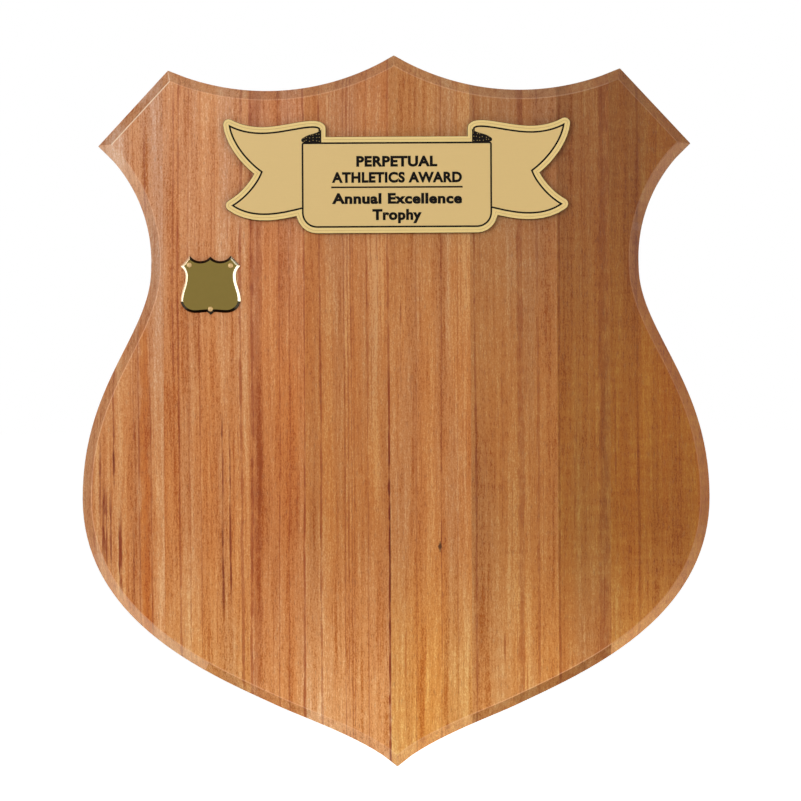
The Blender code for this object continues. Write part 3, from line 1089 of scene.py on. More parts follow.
@dataclass
class Board:
    """The board: eight edge-glued staves with one chamfer round the front.

    The tones of its cuts, partly the lacquer on end grain and partly painted light and shade, and
    the painted highlights on its arrises, are given with the place across the board up to which
    each one reaches.
    """

    chamfer: float = 0.0055
    arris: float = 0.00035
    glue_line: float = 0.00002
    # Painted light and shade on the lower cuts, partly the lacquer on end grain: lighter and
    # paler lower left and far right, darker from 40 to 114 mm right of the middle
    lower_cut_shading: tuple[tuple[float, CutToneAndShading], ...] = (
        (-0.100, CutToneAndShading(1.12, 0.24)),
        (-0.045, CutToneAndShading(0.96)),
        (0.040, CutToneAndShading(1.13, 0.09)),
        (0.064, CutToneAndShading(0.82)),
        (0.100, CutToneAndShading(0.68)),
        (0.114, CutToneAndShading(0.80)),
        (1.0, CutToneAndShading(1.20, 0.13)),
    )
    # Painted light and shade on the upper cuts, partly the end grain's darker tone, with a little
    # painted highlight
    upper_cut_shading: tuple[tuple[float, CutToneAndShading], ...] = (
        (-0.1206, CutToneAndShading(0.87)),
        (0.0, CutToneAndShading(0.96, 0.07)),
        (0.090, CutToneAndShading(1.03, 0.06)),
        (0.122, CutToneAndShading(1.18, 0.06)),
        (1.0, CutToneAndShading(0.98, 0.03)),
    )
    face_look: CutToneAndShading = CutToneAndShading(1.0)
    back_look: CutToneAndShading = CutToneAndShading(0.92)
    # Painted highlights along the arrises at the front
    arris_highlights: tuple[tuple[float, CutToneAndShading], ...] = (
        (0.114, CutToneAndShading(1.10, 0.15)),
        (1.0, CutToneAndShading(1.05, 0.07)),
    )
    # A painted glint on the arris of the upper-left ear
    painted_arris_glint: CutToneAndShading = CutToneAndShading(1.20, 0.85)
    ear_height: float = 0.13
    flat_lean: float = 0.05
    arris_facing: float = 0.75
    ear_lean: float = 0.5
    lower_from: float = 0.15
    lower_over: float = 0.45
    staves: tuple[Stave, ...] = ()

    def outline(self) -> list[Vector]:
        """The scalloped top, cut ears, drawn-in waist, round belly and pointed foot.

        Returns:
            The outline's points, anticlockwise from the foot.
        """
        return (
            Outline(0.0, -0.1895)
            .curve((0.01575, -0.17502), (0.04948, -0.16346), (0.0637, -0.1568), 14, 2)
            .curve((0.09884, -0.14034), (0.1673, -0.1120), (0.1673, -0.0460), 36)
            .curve((0.1673, 0.0160), (0.1301, 0.0420), (0.1301, 0.0770), 30)
            .arc((0.1580, 0.1422), 0.0082, 20, 1, 3)
            .line(0.1206, 0.1825)
            .arc((0.0, 0.1900), 0.0147, 36, 3, 2)
            .whole()
        )

    def build(self) -> None:
        """Make and dress every stave."""
        for number, stave in enumerate(self.staves, start=1):
            self.make_stave(number, stave)

    def make_stave(self, number: int, stave: Stave) -> None:
        """Saw one stave out of the shaped board.

        Args:
            number: Its number from the left.
            stave: The stave.
        """
        work = Workpiece().saw(self.outline(), BOARD_CENTRE, BOARD_BACK_Y, BOARD_FRONT_Y)
        work.bevel(work.loop_at(BOARD_FRONT_Y), self.chamfer)
        work.bevel(work.corners(20.0), self.arris, 3)
        work.trim(stave.left + self.glue_line / 2, -1.0)
        work.trim(stave.right - self.glue_line / 2, 1.0)
        self.mark_cuts(work)
        work.finish(
            f"timber_stave_{number}",
            [stave.timber],
            Body.PLAQUE,
            [f"board_stave_{number}"],
            weighted=True,
        )

    def mark_cuts(self, work: Workpiece) -> None:
        """Note on each face the tone of its wood, partly the lacquer and partly painted light and
        shade, and how much painted highlight lies on it.

        Args:
            work: The stave.
        """
        tone = work.bm.faces.layers.float.new("cut_tone")
        pale = work.bm.faces.layers.float.new("cut_pale")
        for face in work.bm.faces:
            look = self.look_of(face.normal, face.calc_center_median())
            face[tone], face[pale] = look.tone, look.pale

    def look_of(self, normal: Vector, place: Vector) -> CutToneAndShading:
        """How the wood looks on a face.

        Args:
            normal: The way that the face looks.
            place: Its middle.

        Returns:
            The plain look on the front, a painted highlight on an arris, and beside it a cut's
            tone with painted light and shade.
        """
        aside = math.hypot(normal.x, normal.z)
        if aside < self.flat_lean:
            return self.face_look if normal.y < 0 else self.back_look
        left, up = -normal.x / aside, normal.z / aside
        high = place.z > BOARD_CENTRE[1] + self.ear_height
        # The arrises take painted highlights, and the upper-left ear's arris a painted glint
        if -normal.y > self.arris_facing:
            if high and min(left, up) > self.ear_lean:
                return self.painted_arris_glint
            return self.look_at(self.arris_highlights, place.x)
        # A cut's tone, with its painted light and shade, goes from the upper run to the lower one
        # as it faces down
        upper = self.look_at(self.upper_cut_shading, place.x)
        lower = self.look_at(self.lower_cut_shading, place.x)
        share = (-up - self.lower_from) / self.lower_over
        return upper.toward(lower, min(max(share, 0.0), 1.0))

    @staticmethod
    def look_at(cuts: Sequence[tuple[float, CutToneAndShading]], x: float) -> CutToneAndShading:
        """The look of a run of cuts at a place across the board."""
        return next(look for reach, look in cuts if x < reach)


STAVES = (
    Stave(
        -1.0,
        -0.123,
        Timber(
            "timber_stave_1_red",
            Slot.TIMBER_LIGHT,
            top_tone=tint(202, 142, 99),
            middle_tone=tint(193, 125, 71),
            foot_tone_and_light=tint(208, 137, 79),
            seed=1.7,
            streaks=(
                Streak(-0.1572, 0.0016, 0.80, -0.018, -0.052, Grain.BURNT),
                Streak(-0.1556, 0.0020, 0.95, -0.036, -0.074, Grain.BURNT),
                Streak(-0.1541, 0.0012, 0.85, -0.044, -0.081, Grain.BURNT),
                Streak(-0.1518, 0.0013, 0.80, -0.044, -0.087, Grain.BURNT),
                Streak(-0.1500, 0.0012, 0.60, 0.027, -0.037),
                Streak(-0.1500, 0.0013, 0.80, -0.008, -0.033, Grain.BURNT),
                Streak(-0.1469, 0.0022, 0.95, -0.058, -0.094, Grain.BURNT),
                Streak(-0.1398, 0.0018, 0.85, -0.065, -0.097, Grain.BURNT),
                Streak(-0.1391, 0.0010, 0.70, -0.003, -0.022),
                Streak(-0.1335, 0.0062, 0.85, 0.050, -0.128, Grain.ORANGE),
                Streak(-0.1366, 0.0010, 0.55, 0.043, -0.128),
                Streak(-0.1303, 0.0009, 0.50, 0.043, -0.128),
                Streak(-0.1262, 0.0070, 0.38, 0.043, -0.128, Grain.PALE),
                Streak(-0.1324, 0.0014, 0.45, 0.150, 0.070),
            ),
        ),
    ),
    Stave(
        -0.123,
        -0.078,
        Timber(
            "timber_stave_2_salmon",
            Slot.TIMBER_MID,
            top_tone=tint(203, 137, 88),
            middle_tone=tint(197, 127, 70),
            foot_tone_and_light=tint(214, 149, 86),
            seed=5.3,
            streaks=(
                Streak(-0.1174, 0.0012, 0.50, 0.170, 0.020),
                Streak(-0.1147, 0.0012, 0.55),
                Streak(-0.1094, 0.0010, 0.35),
                Streak(-0.1035, 0.0010, 0.40, 0.06, -0.20),
                Streak(-0.0918, 0.0014, 0.80, -0.005, -0.049, Grain.BURNT),
                Streak(-0.0921, 0.0014, 0.80, -0.058, -0.105, Grain.BURNT),
                Streak(-0.0880, 0.0012, 0.85, -0.010, -0.098, Grain.BURNT),
                Streak(-0.0817, 0.0018, 0.60),
            ),
        ),
    ),
    Stave(
        -0.078,
        -0.048,
        Timber(
            "timber_stave_3_rose",
            Slot.TIMBER_LIGHT,
            top_tone=tint(194, 124, 77),
            middle_tone=tint(193, 118, 60),
            foot_tone_and_light=tint(215, 143, 82),
            seed=9.1,
            streaks=(
                Streak(-0.0765, 0.0018, 0.60),
                Streak(-0.0735, 0.0060, 0.35),
                Streak(-0.0619, 0.0010, 0.50),
                Streak(-0.0566, 0.0009, 0.45),
                Streak(-0.0486, 0.0014, 0.70),
            ),
        ),
    ),
    Stave(
        -0.048,
        -0.003,
        Timber(
            "timber_stave_4_tan",
            Slot.TIMBER_MID,
            top_tone=tint(184, 116, 65),
            middle_tone=tint(184, 114, 56),
            foot_tone_and_light=tint(222, 159, 103),
            seed=13.9,
            streaks=(
                Streak(-0.0400, 0.0014, 0.60),
                Streak(-0.0272, 0.0009, 0.50),
                Streak(-0.0253, 0.0009, 0.55),
                Streak(-0.0235, 0.0009, 0.45),
                Streak(-0.0222, 0.0008, 0.40),
                Streak(-0.0149, 0.0010, 0.45),
                Streak(-0.0036, 0.0014, 0.50, 0.20, 0.018),
                Streak(-0.0036, 0.0016, 0.90, 0.020, -0.20),
                Streak(-0.0036, 0.0013, 0.50, -0.020, -0.20, Grain.BURNT),
            ),
        ),
    ),
    Stave(
        -0.003,
        0.040,
        Timber(
            "timber_stave_5_honey",
            Slot.TIMBER_MID,
            top_tone=tint(180, 119, 67),
            middle_tone=tint(188, 120, 64),
            foot_tone_and_light=tint(217, 148, 73),
            seed=21.3,
            streaks=(
                Streak(0.0029, 0.0012, 0.75, 0.062, 0.014),
                Streak(0.0047, 0.0020, 0.75, 0.066, 0.010, Grain.PALE),
                Streak(0.0244, 0.0009, 0.50),
                Streak(0.0243, 0.0007, 0.90, -0.060, -0.080),
                Streak(0.0110, 0.0010, 0.30),
                Streak(0.0330, 0.0010, 0.30),
            ),
            knots=(Knot(0.0235, -0.0718, 0.0026, 0.0075),),
        ),
    ),
    Stave(
        0.040,
        0.086,
        Timber(
            "timber_stave_6_brown",
            Slot.TIMBER_MID,
            top_tone=tint(161, 105, 61),
            middle_tone=tint(174, 112, 57),
            foot_tone_and_light=tint(211, 142, 75),
            seed=27.7,
            streaks=(
                Streak(0.0424, 0.0014, 0.55),
                Streak(0.0664, 0.0044, 0.45),
                Streak(0.0757, 0.0016, 0.40),
                Streak(0.0574, 0.0013, 0.90, -0.121, -0.130),
            ),
            contrast=0.8,
            ripple=0.25,
        ),
    ),
    Stave(
        0.086,
        0.114,
        Timber(
            "timber_stave_7_umber",
            Slot.TIMBER_DARK,
            top_tone=tint(142, 87, 42),
            middle_tone=tint(155, 95, 35),
            foot_tone_and_light=tint(200, 129, 67),
            seed=33.1,
            streaks=(
                Streak(0.0872, 0.0014, 0.50),
                Streak(0.1105, 0.0066, 0.40),
            ),
            contrast=0.8,
            ripple=0.35,
        ),
    ),
    Stave(
        0.114,
        1.0,
        Timber(
            "timber_stave_8_olive",
            Slot.TIMBER_DARK,
            top_tone=tint(135, 78, 29),
            middle_tone=tint(154, 88, 23),
            foot_tone_and_light=tint(212, 141, 64),
            seed=41.9,
            streaks=(Streak(0.1290, 0.0016, 0.35),),
            contrast=0.8,
            ripple=0.45,
        ),
    ),
)


# --- The header plate ---


@dataclass(frozen=True)
class TextLine:
    """One line of lettering: its words, the height of its foot, its capitals and its width."""

    words: str
    foot: float
    capital: float
    width: float


@dataclass
class HeaderPlate:
    """The scroll-shaped header: a gold laminate plate with printed borders, folds and words."""

    centre: Point = (0.0013, -0.150)
    rim_band: float = 0.0013
    rim_drop: float = 0.00020
    groove_width: float = 0.00016
    groove_depth: float = 0.00006
    line_width: float = 0.00092
    rule_width: float = 0.00088
    rule_length: float = 0.0697
    rule_height: float = 0.1189
    edge_round: float = 0.00018
    ink_height: float = 0.00004
    ink_root: float = 1.5
    ink_sharp_degrees: float = 30.0
    letter_boldness: float = 0.034
    letter_bevel: float = 0.015
    letter_depth: float = 0.01
    letter_spacing: float = 1.07
    panel_half_width: float = 0.0504
    panel_top: float = 0.1428
    panel_bottom: float = 0.0975
    panel_corner: float = 0.008
    fold_x: float = 0.0405
    words: tuple[TextLine, ...] = (
        TextLine("PERPETUAL", 0.1301, 0.0054, 0.0430),
        TextLine("ATHLETICS AWARD", 0.1216, 0.0054, 0.0690),
        TextLine("Annual Excellence", 0.1104, 0.0054, 0.0690),
        TextLine("Trophy", 0.1018, 0.0055, 0.0262),
    )

    def scroll(self) -> list[Vector]:
        """The border of the whole scroll: the panel with a swallow tail on each side.

        Returns:
            Its points, anticlockwise from the middle of the foot.
        """
        edge, corner, bottom = self.panel_half_width, self.panel_corner, self.panel_bottom
        return (
            Outline(0.0, bottom)
            .line(edge - corner, bottom)
            .arc((edge, bottom + corner), -QUARTER_RISE * corner, 10)
            .line(edge, 0.1075)
            .curve((0.0600, 0.1052), (0.0760, 0.1010), (0.0879, 0.1096), 20)
            .curve((0.0800, 0.1140), (0.0740, 0.1220), (0.0721, 0.1272), 14)
            .curve((0.0800, 0.1330), (0.0880, 0.1430), (0.0891, 0.1525), 18)
            .curve((0.0820, 0.1485), (0.0740, 0.1479), (0.0680, 0.1483), 14)
            .curve((0.0570, 0.1490), (0.0430, 0.1535), (self.fold_x, 0.1502), 18)
            .line(self.fold_x, self.panel_top)
            .line(0.0, self.panel_top)
            .whole()
        )

    def panel(self) -> list[Vector]:
        """The border of the panel alone.

        Returns:
            Its points, anticlockwise from the middle of the foot.
        """
        edge, corner, bottom = self.panel_half_width, self.panel_corner, self.panel_bottom
        shoulder = 0.0012
        return (
            Outline(0.0, bottom)
            .line(edge - corner, bottom)
            .arc((edge, bottom + corner), -QUARTER_RISE * corner, 10)
            .line(edge, self.panel_top - shoulder)
            .arc((edge - shoulder, self.panel_top), -QUARTER_RISE * shoulder, 4)
            .line(0.0, self.panel_top)
            .whole()
        )

    def fold(self) -> Outline:
        """The dark underside that shows where a tail folds behind the panel.

        Returns:
            The right-hand fold's outline.
        """
        return (
            Outline(0.0399, 0.1428)
            .line(0.0494, 0.1428)
            .curve((0.0502, 0.1429), (0.0507, 0.1434), (0.0506, 0.1441), 4)
            .curve((0.0505, 0.1450), (0.0484, 0.1461), (0.0464, 0.1468), 6)
            .curve((0.0440, 0.1475), (0.0410, 0.1480), (0.0399, 0.1498), 6)
        )

    def build(self) -> None:
        """Make and dress the plate, its printing and its tape."""
        self.make_plate()
        self.make_face()
        self.make_borders()
        self.make_folds()
        self.make_words()
        self.dress_tape()

    def make_plate(self) -> None:
        """Make the plate: a black core with a gold cap, a slightly dropped rim, and a groove
        painted darker gold as shade.
        """
        work = Workpiece().copy_node("scroll_plate")
        front = min(work.bm.faces, key=lambda face: face.calc_center_median().y)
        bmesh.ops.translate(
            work.bm, verts=front.verts, vec=(0.0, self.rim_drop + self.ink_height, 0.0)
        )
        front_y = PLATE_FRONT_Y + self.rim_drop + self.ink_height
        work.bevel(work.loop_at(front_y), self.edge_round, 2)
        front = min(work.bm.faces, key=lambda face: face.calc_center_median().y)
        rim = self.inset(work, front, self.rim_band, self.rim_drop)
        groove = self.inset(work, front, self.groove_width, -self.groove_depth)
        lip = self.inset(work, front, self.groove_width / 2, self.groove_depth)
        # The groove takes the darker gold as painted shade
        gold, groove_shaded = {front, *rim, *lip}, set(groove)
        for face in work.bm.faces:
            face.material_index = 0 if face in gold else 2 if face in groove_shaded else 1
        work.finish(
            "header_plate",
            [PLATE_RIM, PLATE_CORE, PLATE_GROOVE_SHADE],
            Body.PLAQUE,
            ["scroll_plate"],
            sharp_degrees=8.0,
        )

    @staticmethod
    def inset(work: Workpiece, face: BMFace, width: float, rise: float) -> list[BMFace]:
        """Draw a band in from the edge of a face, and raise what is inside it.

        Args:
            work: The workpiece.
            face: The face, which becomes what is inside the band.
            width: The band's width.
            rise: How far the inside comes forwards.

        Returns:
            The band's faces.
        """
        return bmesh.ops.inset_region(
            work.bm, faces=[face], thickness=width, depth=rise, use_even_offset=True
        )["faces"]

    def hand_over(self, work: Workpiece, name: str, finish: Finish) -> None:
        """Hand over one printed piece."""
        work.finish(name, [finish], Body.PLAQUE, sharp_degrees=self.ink_sharp_degrees)

    def print_patch(self, work: Workpiece, outline: Sequence[Vector], proud: float) -> None:
        """Print a filled patch.

        Args:
            work: The workpiece that takes it.
            outline: Its outline.
            proud: How far its top stands above the rim's gold, in ink heights.
        """
        top = PLATE_FRONT_Y + self.ink_height * (1 - proud)
        face = work.lay(outline, self.centre, top + self.ink_height * self.ink_root)
        work.thicken([face], -self.ink_height * self.ink_root)

    def print_line(self, work: Workpiece, outline: Sequence[Vector], proud: float) -> None:
        """Print a line along the inside of an outline.

        Args:
            work: The workpiece that takes it.
            outline: Its outline.
            proud: How far its top stands above the rim's gold, in ink heights.
        """
        top = PLATE_FRONT_Y + self.ink_height * (1 - proud)
        face = work.lay(outline, self.centre, top + self.ink_height * self.ink_root)
        ring = bmesh.ops.inset_region(
            work.bm,
            faces=[face],
            thickness=self.line_width,
            use_even_offset=True,
            use_boundary=True,
        )
        bmesh.ops.delete(work.bm, geom=[face], context="FACES_ONLY")
        work.thicken(ring["faces"], -self.ink_height * self.ink_root)

    def make_face(self) -> None:
        """Make the slightly deeper gold inside the border."""
        work = Workpiece()
        self.print_patch(work, self.scroll(), 0.4)
        self.hand_over(work, "header_face", PLATE_FACE)

    def make_borders(self) -> None:
        """Make the border lines round the scroll and the panel."""
        work = Workpiece()
        self.print_line(work, self.scroll(), 0.7)
        self.hand_over(work, "header_border", PLATE_CORE)
        inner = Workpiece()
        self.print_line(inner, self.panel(), 0.8)
        self.hand_over(inner, "header_panel_border", PLATE_CORE)

    def make_folds(self) -> None:
        """Make the two dark folds behind the panel's upper corners."""
        for name, outline in (
            ("header_fold_right", self.fold().points),
            ("header_fold_left", self.fold().across()),
        ):
            work = Workpiece()
            self.print_patch(work, outline, 0.9)
            self.hand_over(work, name, PLATE_FOLD)

    def make_words(self) -> None:
        """Make the four lines of words and the rule between them."""
        for number, line in enumerate(self.words, start=1):
            work = Workpiece()
            work.bm.from_mesh(self.letters(line))
            self.hand_over(work, f"header_words_{number}", PLATE_CORE)
        work = Workpiece()
        size = Matrix.Diagonal((self.rule_length, self.ink_height, self.rule_width, 1.0))
        bmesh.ops.create_cube(work.bm, size=1.0, matrix=size)
        work.bevel(work.bm.edges[:], self.ink_height * 0.2, 1)
        height = self.centre[1] + self.rule_height
        work.shift((self.centre[0], PLATE_FRONT_Y + self.ink_height / 2, height))
        self.hand_over(work, "header_rule", PLATE_CORE)

    def letters(self, line: TextLine) -> bpy.types.Mesh:
        """One line of bold letters as a mesh in its place.

        Args:
            line: The line.

        Returns:
            The mesh.
        """
        curve = bpy.data.curves.new(line.words, "FONT")
        curve.body = line.words
        curve.align_x = "CENTER"
        curve.offset = self.letter_boldness
        curve.bevel_depth = self.letter_bevel
        curve.bevel_resolution = 0
        curve.space_character = self.letter_spacing
        curve.extrude = self.letter_depth
        curve.resolution_u = 6
        text = bpy.data.objects.new(line.words, curve)
        bpy.context.scene.collection.objects.link(text)
        bpy.context.view_layer.update()
        shaped = text.evaluated_get(bpy.context.evaluated_depsgraph_get())
        mesh = bpy.data.meshes.new_from_object(shaped)
        bpy.data.objects.remove(text)
        xs = [vert.co.x for vert in mesh.vertices]
        ys = [vert.co.y for vert in mesh.vertices]
        wide = line.width / (max(xs) - min(xs))
        tall = line.capital / max(ys)
        middle = (max(xs) + min(xs)) / 2
        stand = Matrix.Rotation(math.radians(90.0), 4, "X")
        thin = self.ink_height / (2 * (self.letter_depth + self.letter_bevel))
        size = Matrix.Diagonal((wide, tall, thin, 1.0))
        place = Matrix.Translation(
            (
                self.centre[0],
                PLATE_FRONT_Y + self.ink_height / 2,
                self.centre[1] + line.foot,
            )
        )
        mesh.transform(place @ stand @ size @ Matrix.Translation((-middle, 0.0, 0.0)))
        return mesh

    @staticmethod
    def dress_tape() -> None:
        """Give the tape pads behind the plate their foam."""
        for name in ("tape_left_tail", "tape_panel", "tape_right_tail"):
            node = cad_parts[name]
            node.data.materials.clear()
            node.data.materials.append(TAPE_FOAM.material())
            LOG.info("%s: dressed", name)


# --- The annual shield ---


@dataclass
class AnnualShield:
    """The small mirror-brass shield with its three domed pins."""

    centre: Point = (-0.0979, -0.0830)
    bevel: float = 0.0013
    arris: float = 0.00006
    shaded_below: float = 0.0078
    ear_x: float = 0.0109
    mirror_facing: float = 0.98
    low_lean: float = 0.05
    top_lean: float = 0.1
    pin_radius: float = 0.0013
    pin_height: float = 0.0008
    pin_shank: float = 0.0006
    pin_depth: float = 0.008
    pin_point: float = 0.001
    pins: tuple[tuple[str, Point], ...] = (
        ("left", (-0.0111, 0.0112)),
        ("right", (0.0108, 0.0108)),
        ("bottom", (0.0, -0.0122)),
    )

    def outline(self) -> list[Vector]:
        """The shield's outline, squarer at the foot than the board's.

        Returns:
            Its points, anticlockwise from the foot.
        """
        return (
            Outline(0.0, -0.0152)
            .line(0.0018, -0.0137)
            .curve((0.0040, -0.0137), (0.0060, -0.0141), (0.0085, -0.0141), 8)
            .curve((0.0125, -0.0141), (0.0159, -0.0110), (0.0159, -0.0074), 14)
            .curve((0.0159, -0.0030), (0.0134, 0.0010), (0.0134, 0.0046), 16)
            .arc((0.0158, 0.0107), 0.0008, 10, 1, 3)
            .line(0.0109, 0.0161)
            .arc((0.0, 0.0157), 0.0026, 18, 3, 2)
            .whole()
        )

    def build(self) -> None:
        """Make and dress the shield and its pins."""
        work = Workpiece().saw(self.outline(), self.centre, SHIELD_BACK_Y, SHIELD_FRONT_Y)
        work.bevel(work.loop_at(SHIELD_FRONT_Y), self.bevel)
        work.bevel(work.corners(25.0), self.arris, 2)
        for face in work.bm.faces:
            face.material_index = self.finish_of(face)
        work.finish(
            "annual_shield_plate",
            [SHIELD_BRASS, CUT_BRASS, SHADED_BEVEL_BRASS],
            Body.PLAQUE,
            ["annual_shield"],
            weighted=True,
        )
        for name, place in self.pins:
            self.make_pin(name, place)

    def finish_of(self, face: BMFace) -> int:
        """Which finish a face takes: the mirror, the bright cut, or near-black painted shade on
        the lower and top bevels.

        Args:
            face: The face.

        Returns:
            The finish's number.
        """
        if abs(face.normal.y) > self.mirror_facing:
            return 0
        place = face.calc_center_median()
        # The lower and top bevels take the painted shade
        low = place.z < self.centre[1] - self.shaded_below and -face.normal.z > self.low_lean
        top = abs(place.x - self.centre[0]) < self.ear_x and face.normal.z > self.top_lean
        return 2 if low or top else 1

    def make_pin(self, name: str, place: Point) -> None:
        """Turn one domed pin.

        Args:
            name: Which pin it is.
            place: Where it stands on the shield.
        """
        seat = SHIELD_FRONT_Y - TOUCH_GAP
        tip = BOARD_FRONT_Y + self.pin_depth
        steps = 8
        dome = [
            (
                self.pin_radius * math.cos(math.pi / 2 * step / steps),
                seat - self.pin_height * math.sin(math.pi / 2 * step / steps),
            )
            for step in range(steps)
        ]
        profile = [
            (0.0, tip),
            (self.pin_shank, tip - self.pin_point),
            (self.pin_shank, seat),
            (self.pin_radius * 0.94, seat),
            *dome,
            (0.0, seat - self.pin_height),
        ]
        centre = (self.centre[0] + place[0], self.centre[1] + place[1])
        work = Workpiece().turn(profile, centre, 32)
        work.finish(f"domed_pin_{name}", [PIN_BRASS], Body.PLAQUE, [f"shield_pin_{name}"])


# --- The back ---


@dataclass
class RingHanger:
    """The folding ring hanger: a strap rolled into an eye, two screws and a wire ring."""

    axis_y: float = -0.0028
    axis_z: float = -0.0105
    wire_radius: float = 0.001
    ring_half_width: float = 0.0075
    ring_leg: float = 0.004
    ring_corner: float = 0.0016
    strap_width: float = 0.012
    strap_length: float = 0.031
    strap_thickness: float = 0.0008
    strap_corner: float = 0.0035
    strap_arris: float = 0.00012
    eye_radius: float = 0.0022
    eye_roll_degrees: float = 285.0
    screw_radius: float = 0.0029
    screw_height: float = 0.0013
    screw_shank: float = 0.0014
    screw_depth: float = 0.011
    screw_point: float = 0.003
    recess_length: float = 0.0030
    recess_width: float = 0.00062
    recess_height: float = 0.0016
    recess_turns: tuple[float, float] = (38.0, 128.0)
    recess_taper: tuple[float, float, float] = (0.45, 1.0, 0.7)
    screws: tuple[tuple[str, float], ...] = (("upper", -0.0270), ("lower", -0.0355))

    def build(self) -> None:
        """Make and dress the strap, the screws and the ring."""
        self.make_strap()
        for name, z in self.screws:
            self.make_screw(name, z)
        self.make_ring()

    def make_strap(self) -> None:
        """Press the strap: a flat leg with round corners that rolls over into the eye."""
        outer, inner = self.eye_radius, self.eye_radius - self.strap_thickness
        steps = 30
        angles = [math.radians(self.eye_roll_degrees) * step / steps for step in range(steps + 1)]
        profile = [(-inner, -self.strap_length), (-outer, -self.strap_length)]
        profile += [(-outer * math.cos(a), outer * math.sin(a)) for a in angles]
        profile += [(-inner * math.cos(a), inner * math.sin(a)) for a in reversed(angles)]
        work = Workpiece()
        verts = [
            work.bm.verts.new((-self.strap_width / 2, self.axis_y + y, self.axis_z + z))
            for y, z in profile
        ]
        side = work.bm.faces.new(verts)
        grown = bmesh.ops.extrude_face_region(work.bm, geom=[side])
        bmesh.ops.translate(
            work.bm, verts=work.verts_of(grown["geom"]), vec=(self.strap_width, 0.0, 0.0)
        )
        bmesh.ops.recalc_face_normals(work.bm, faces=work.bm.faces)
        foot = self.axis_z - self.strap_length
        corners = [
            edge
            for edge in work.bm.edges
            if all(abs(v.co.z - foot) < HAIR for v in edge.verts)
            and abs(edge.verts[0].co.x - edge.verts[1].co.x) < HAIR
        ]
        work.bevel(corners, self.strap_corner, 8)
        work.bevel(work.corners(60.0), self.strap_arris, 2)
        work.finish(
            "strap", [STRAP_BRASS], Body.PLAQUE, ["hanger_strap"], weighted=True,
            sharp_degrees=40.0,
        )

    def make_screw(self, name: str, z: float) -> None:
        """Turn one pan-head screw and punch its cross recess.

        Args:
            name: Which screw it is.
            z: Its height.
        """
        seat = self.axis_y - self.eye_radius + self.strap_thickness + TOUCH_GAP
        tip = BOARD_BACK_Y - self.screw_depth
        top = seat + self.screw_height
        profile = [
            (0.0, tip),
            (self.screw_shank, tip + self.screw_point),
            (self.screw_shank, seat),
            (self.screw_radius * 0.97, seat),
            (self.screw_radius, seat + 0.0001),
            (self.screw_radius * 0.985, seat + self.screw_height * 0.45),
            (self.screw_radius * 0.92, seat + self.screw_height * 0.70),
            (self.screw_radius * 0.78, seat + self.screw_height * 0.89),
            (self.screw_radius * 0.55, seat + self.screw_height * 0.98),
            (self.screw_radius * 0.30, top),
            (0.0, top),
        ]
        work = Workpiece().turn(profile, (0.0, z), 40)
        blank = bpy.data.meshes.new("screw_blank")
        work.bm.to_mesh(blank)
        work.bm.free()
        punched = Workpiece()
        punched.bm.from_mesh(self.punch(blank, z, top))
        punched.finish(
            f"pan_head_screw_{name}", [SCREW_BRASS], Body.PLAQUE, [f"hanger_screw_{name}"],
            sharp_degrees=38.0,
        )

    def punch(self, blank: bpy.types.Mesh, z: float, top: float) -> bpy.types.Mesh:
        """Punch a cross recess into a screw's head.

        Args:
            blank: The plain screw.
            z: Its height.
            top: The depth of its head's crown.

        Returns:
            The screw with its recess.
        """
        cross = bmesh.new()
        size = Matrix.Diagonal((self.recess_length, self.recess_height, self.recess_width, 1.0))
        for degrees in self.recess_turns:
            bar = bmesh.ops.create_cube(cross, size=1.0, matrix=size)["verts"]
            tips = [vert for vert in bar if vert.co.y < 0]
            bmesh.ops.scale(cross, vec=self.recess_taper, verts=tips)
            turn = Matrix.Rotation(math.radians(degrees), 3, "Y")
            bmesh.ops.rotate(cross, cent=(0.0, 0.0, 0.0), matrix=turn, verts=bar)
        bmesh.ops.translate(cross, verts=cross.verts, vec=(0.0, top, z))
        cutter_mesh = bpy.data.meshes.new("cross_punch")
        cross.to_mesh(cutter_mesh)
        cross.free()
        cutter = bpy.data.objects.new("cross_punch", cutter_mesh)
        screw = bpy.data.objects.new("screw_blank", blank)
        for obj in (cutter, screw):
            bpy.context.scene.collection.objects.link(obj)
        cut = screw.modifiers.new("recess", "BOOLEAN")
        cut.operation = "DIFFERENCE"
        cut.solver = "EXACT"
        cut.use_self = True
        cut.object = cutter
        bpy.context.view_layer.update()
        shaped = screw.evaluated_get(bpy.context.evaluated_depsgraph_get())
        mesh = bpy.data.meshes.new_from_object(shaped)
        bpy.data.objects.remove(screw)
        bpy.data.objects.remove(cutter)
        return mesh

    def make_ring(self) -> None:
        """Bend the wire: a bar through the eye, two corners, two legs and a round bow."""
        work = Workpiece()
        half, corner, leg = self.ring_half_width, self.ring_corner, self.ring_leg
        start = Matrix.Translation((-(half - corner), 0.0, 0.0))
        made = bmesh.ops.create_circle(
            work.bm,
            cap_ends=False,
            segments=20,
            radius=self.wire_radius,
            matrix=start @ Matrix.Rotation(math.radians(90.0), 4, "Y"),
        )
        rim = list({edge for vert in made["verts"] for edge in vert.link_edges})
        rim = self.draw_wire(work, rim, (2 * (half - corner), 0.0, 0.0))
        rim = self.bend_wire(work, rim, (half - corner, -corner), 90.0, 8)
        rim = self.draw_wire(work, rim, (0.0, 0.0, corner - leg))
        rim = self.bend_wire(work, rim, (0.0, -leg), 180.0, 40)
        rim = self.draw_wire(work, rim, (0.0, 0.0, leg - corner))
        self.bend_wire(work, rim, (corner - half, -corner), 90.0, 8)
        bmesh.ops.remove_doubles(work.bm, verts=work.bm.verts, dist=1e-5)
        bmesh.ops.recalc_face_normals(work.bm, faces=work.bm.faces)
        work.shift((0.0, self.axis_y, self.axis_z))
        work.finish("wire_ring", [RING_BRASS], Body.RING, ["hanger_ring"])

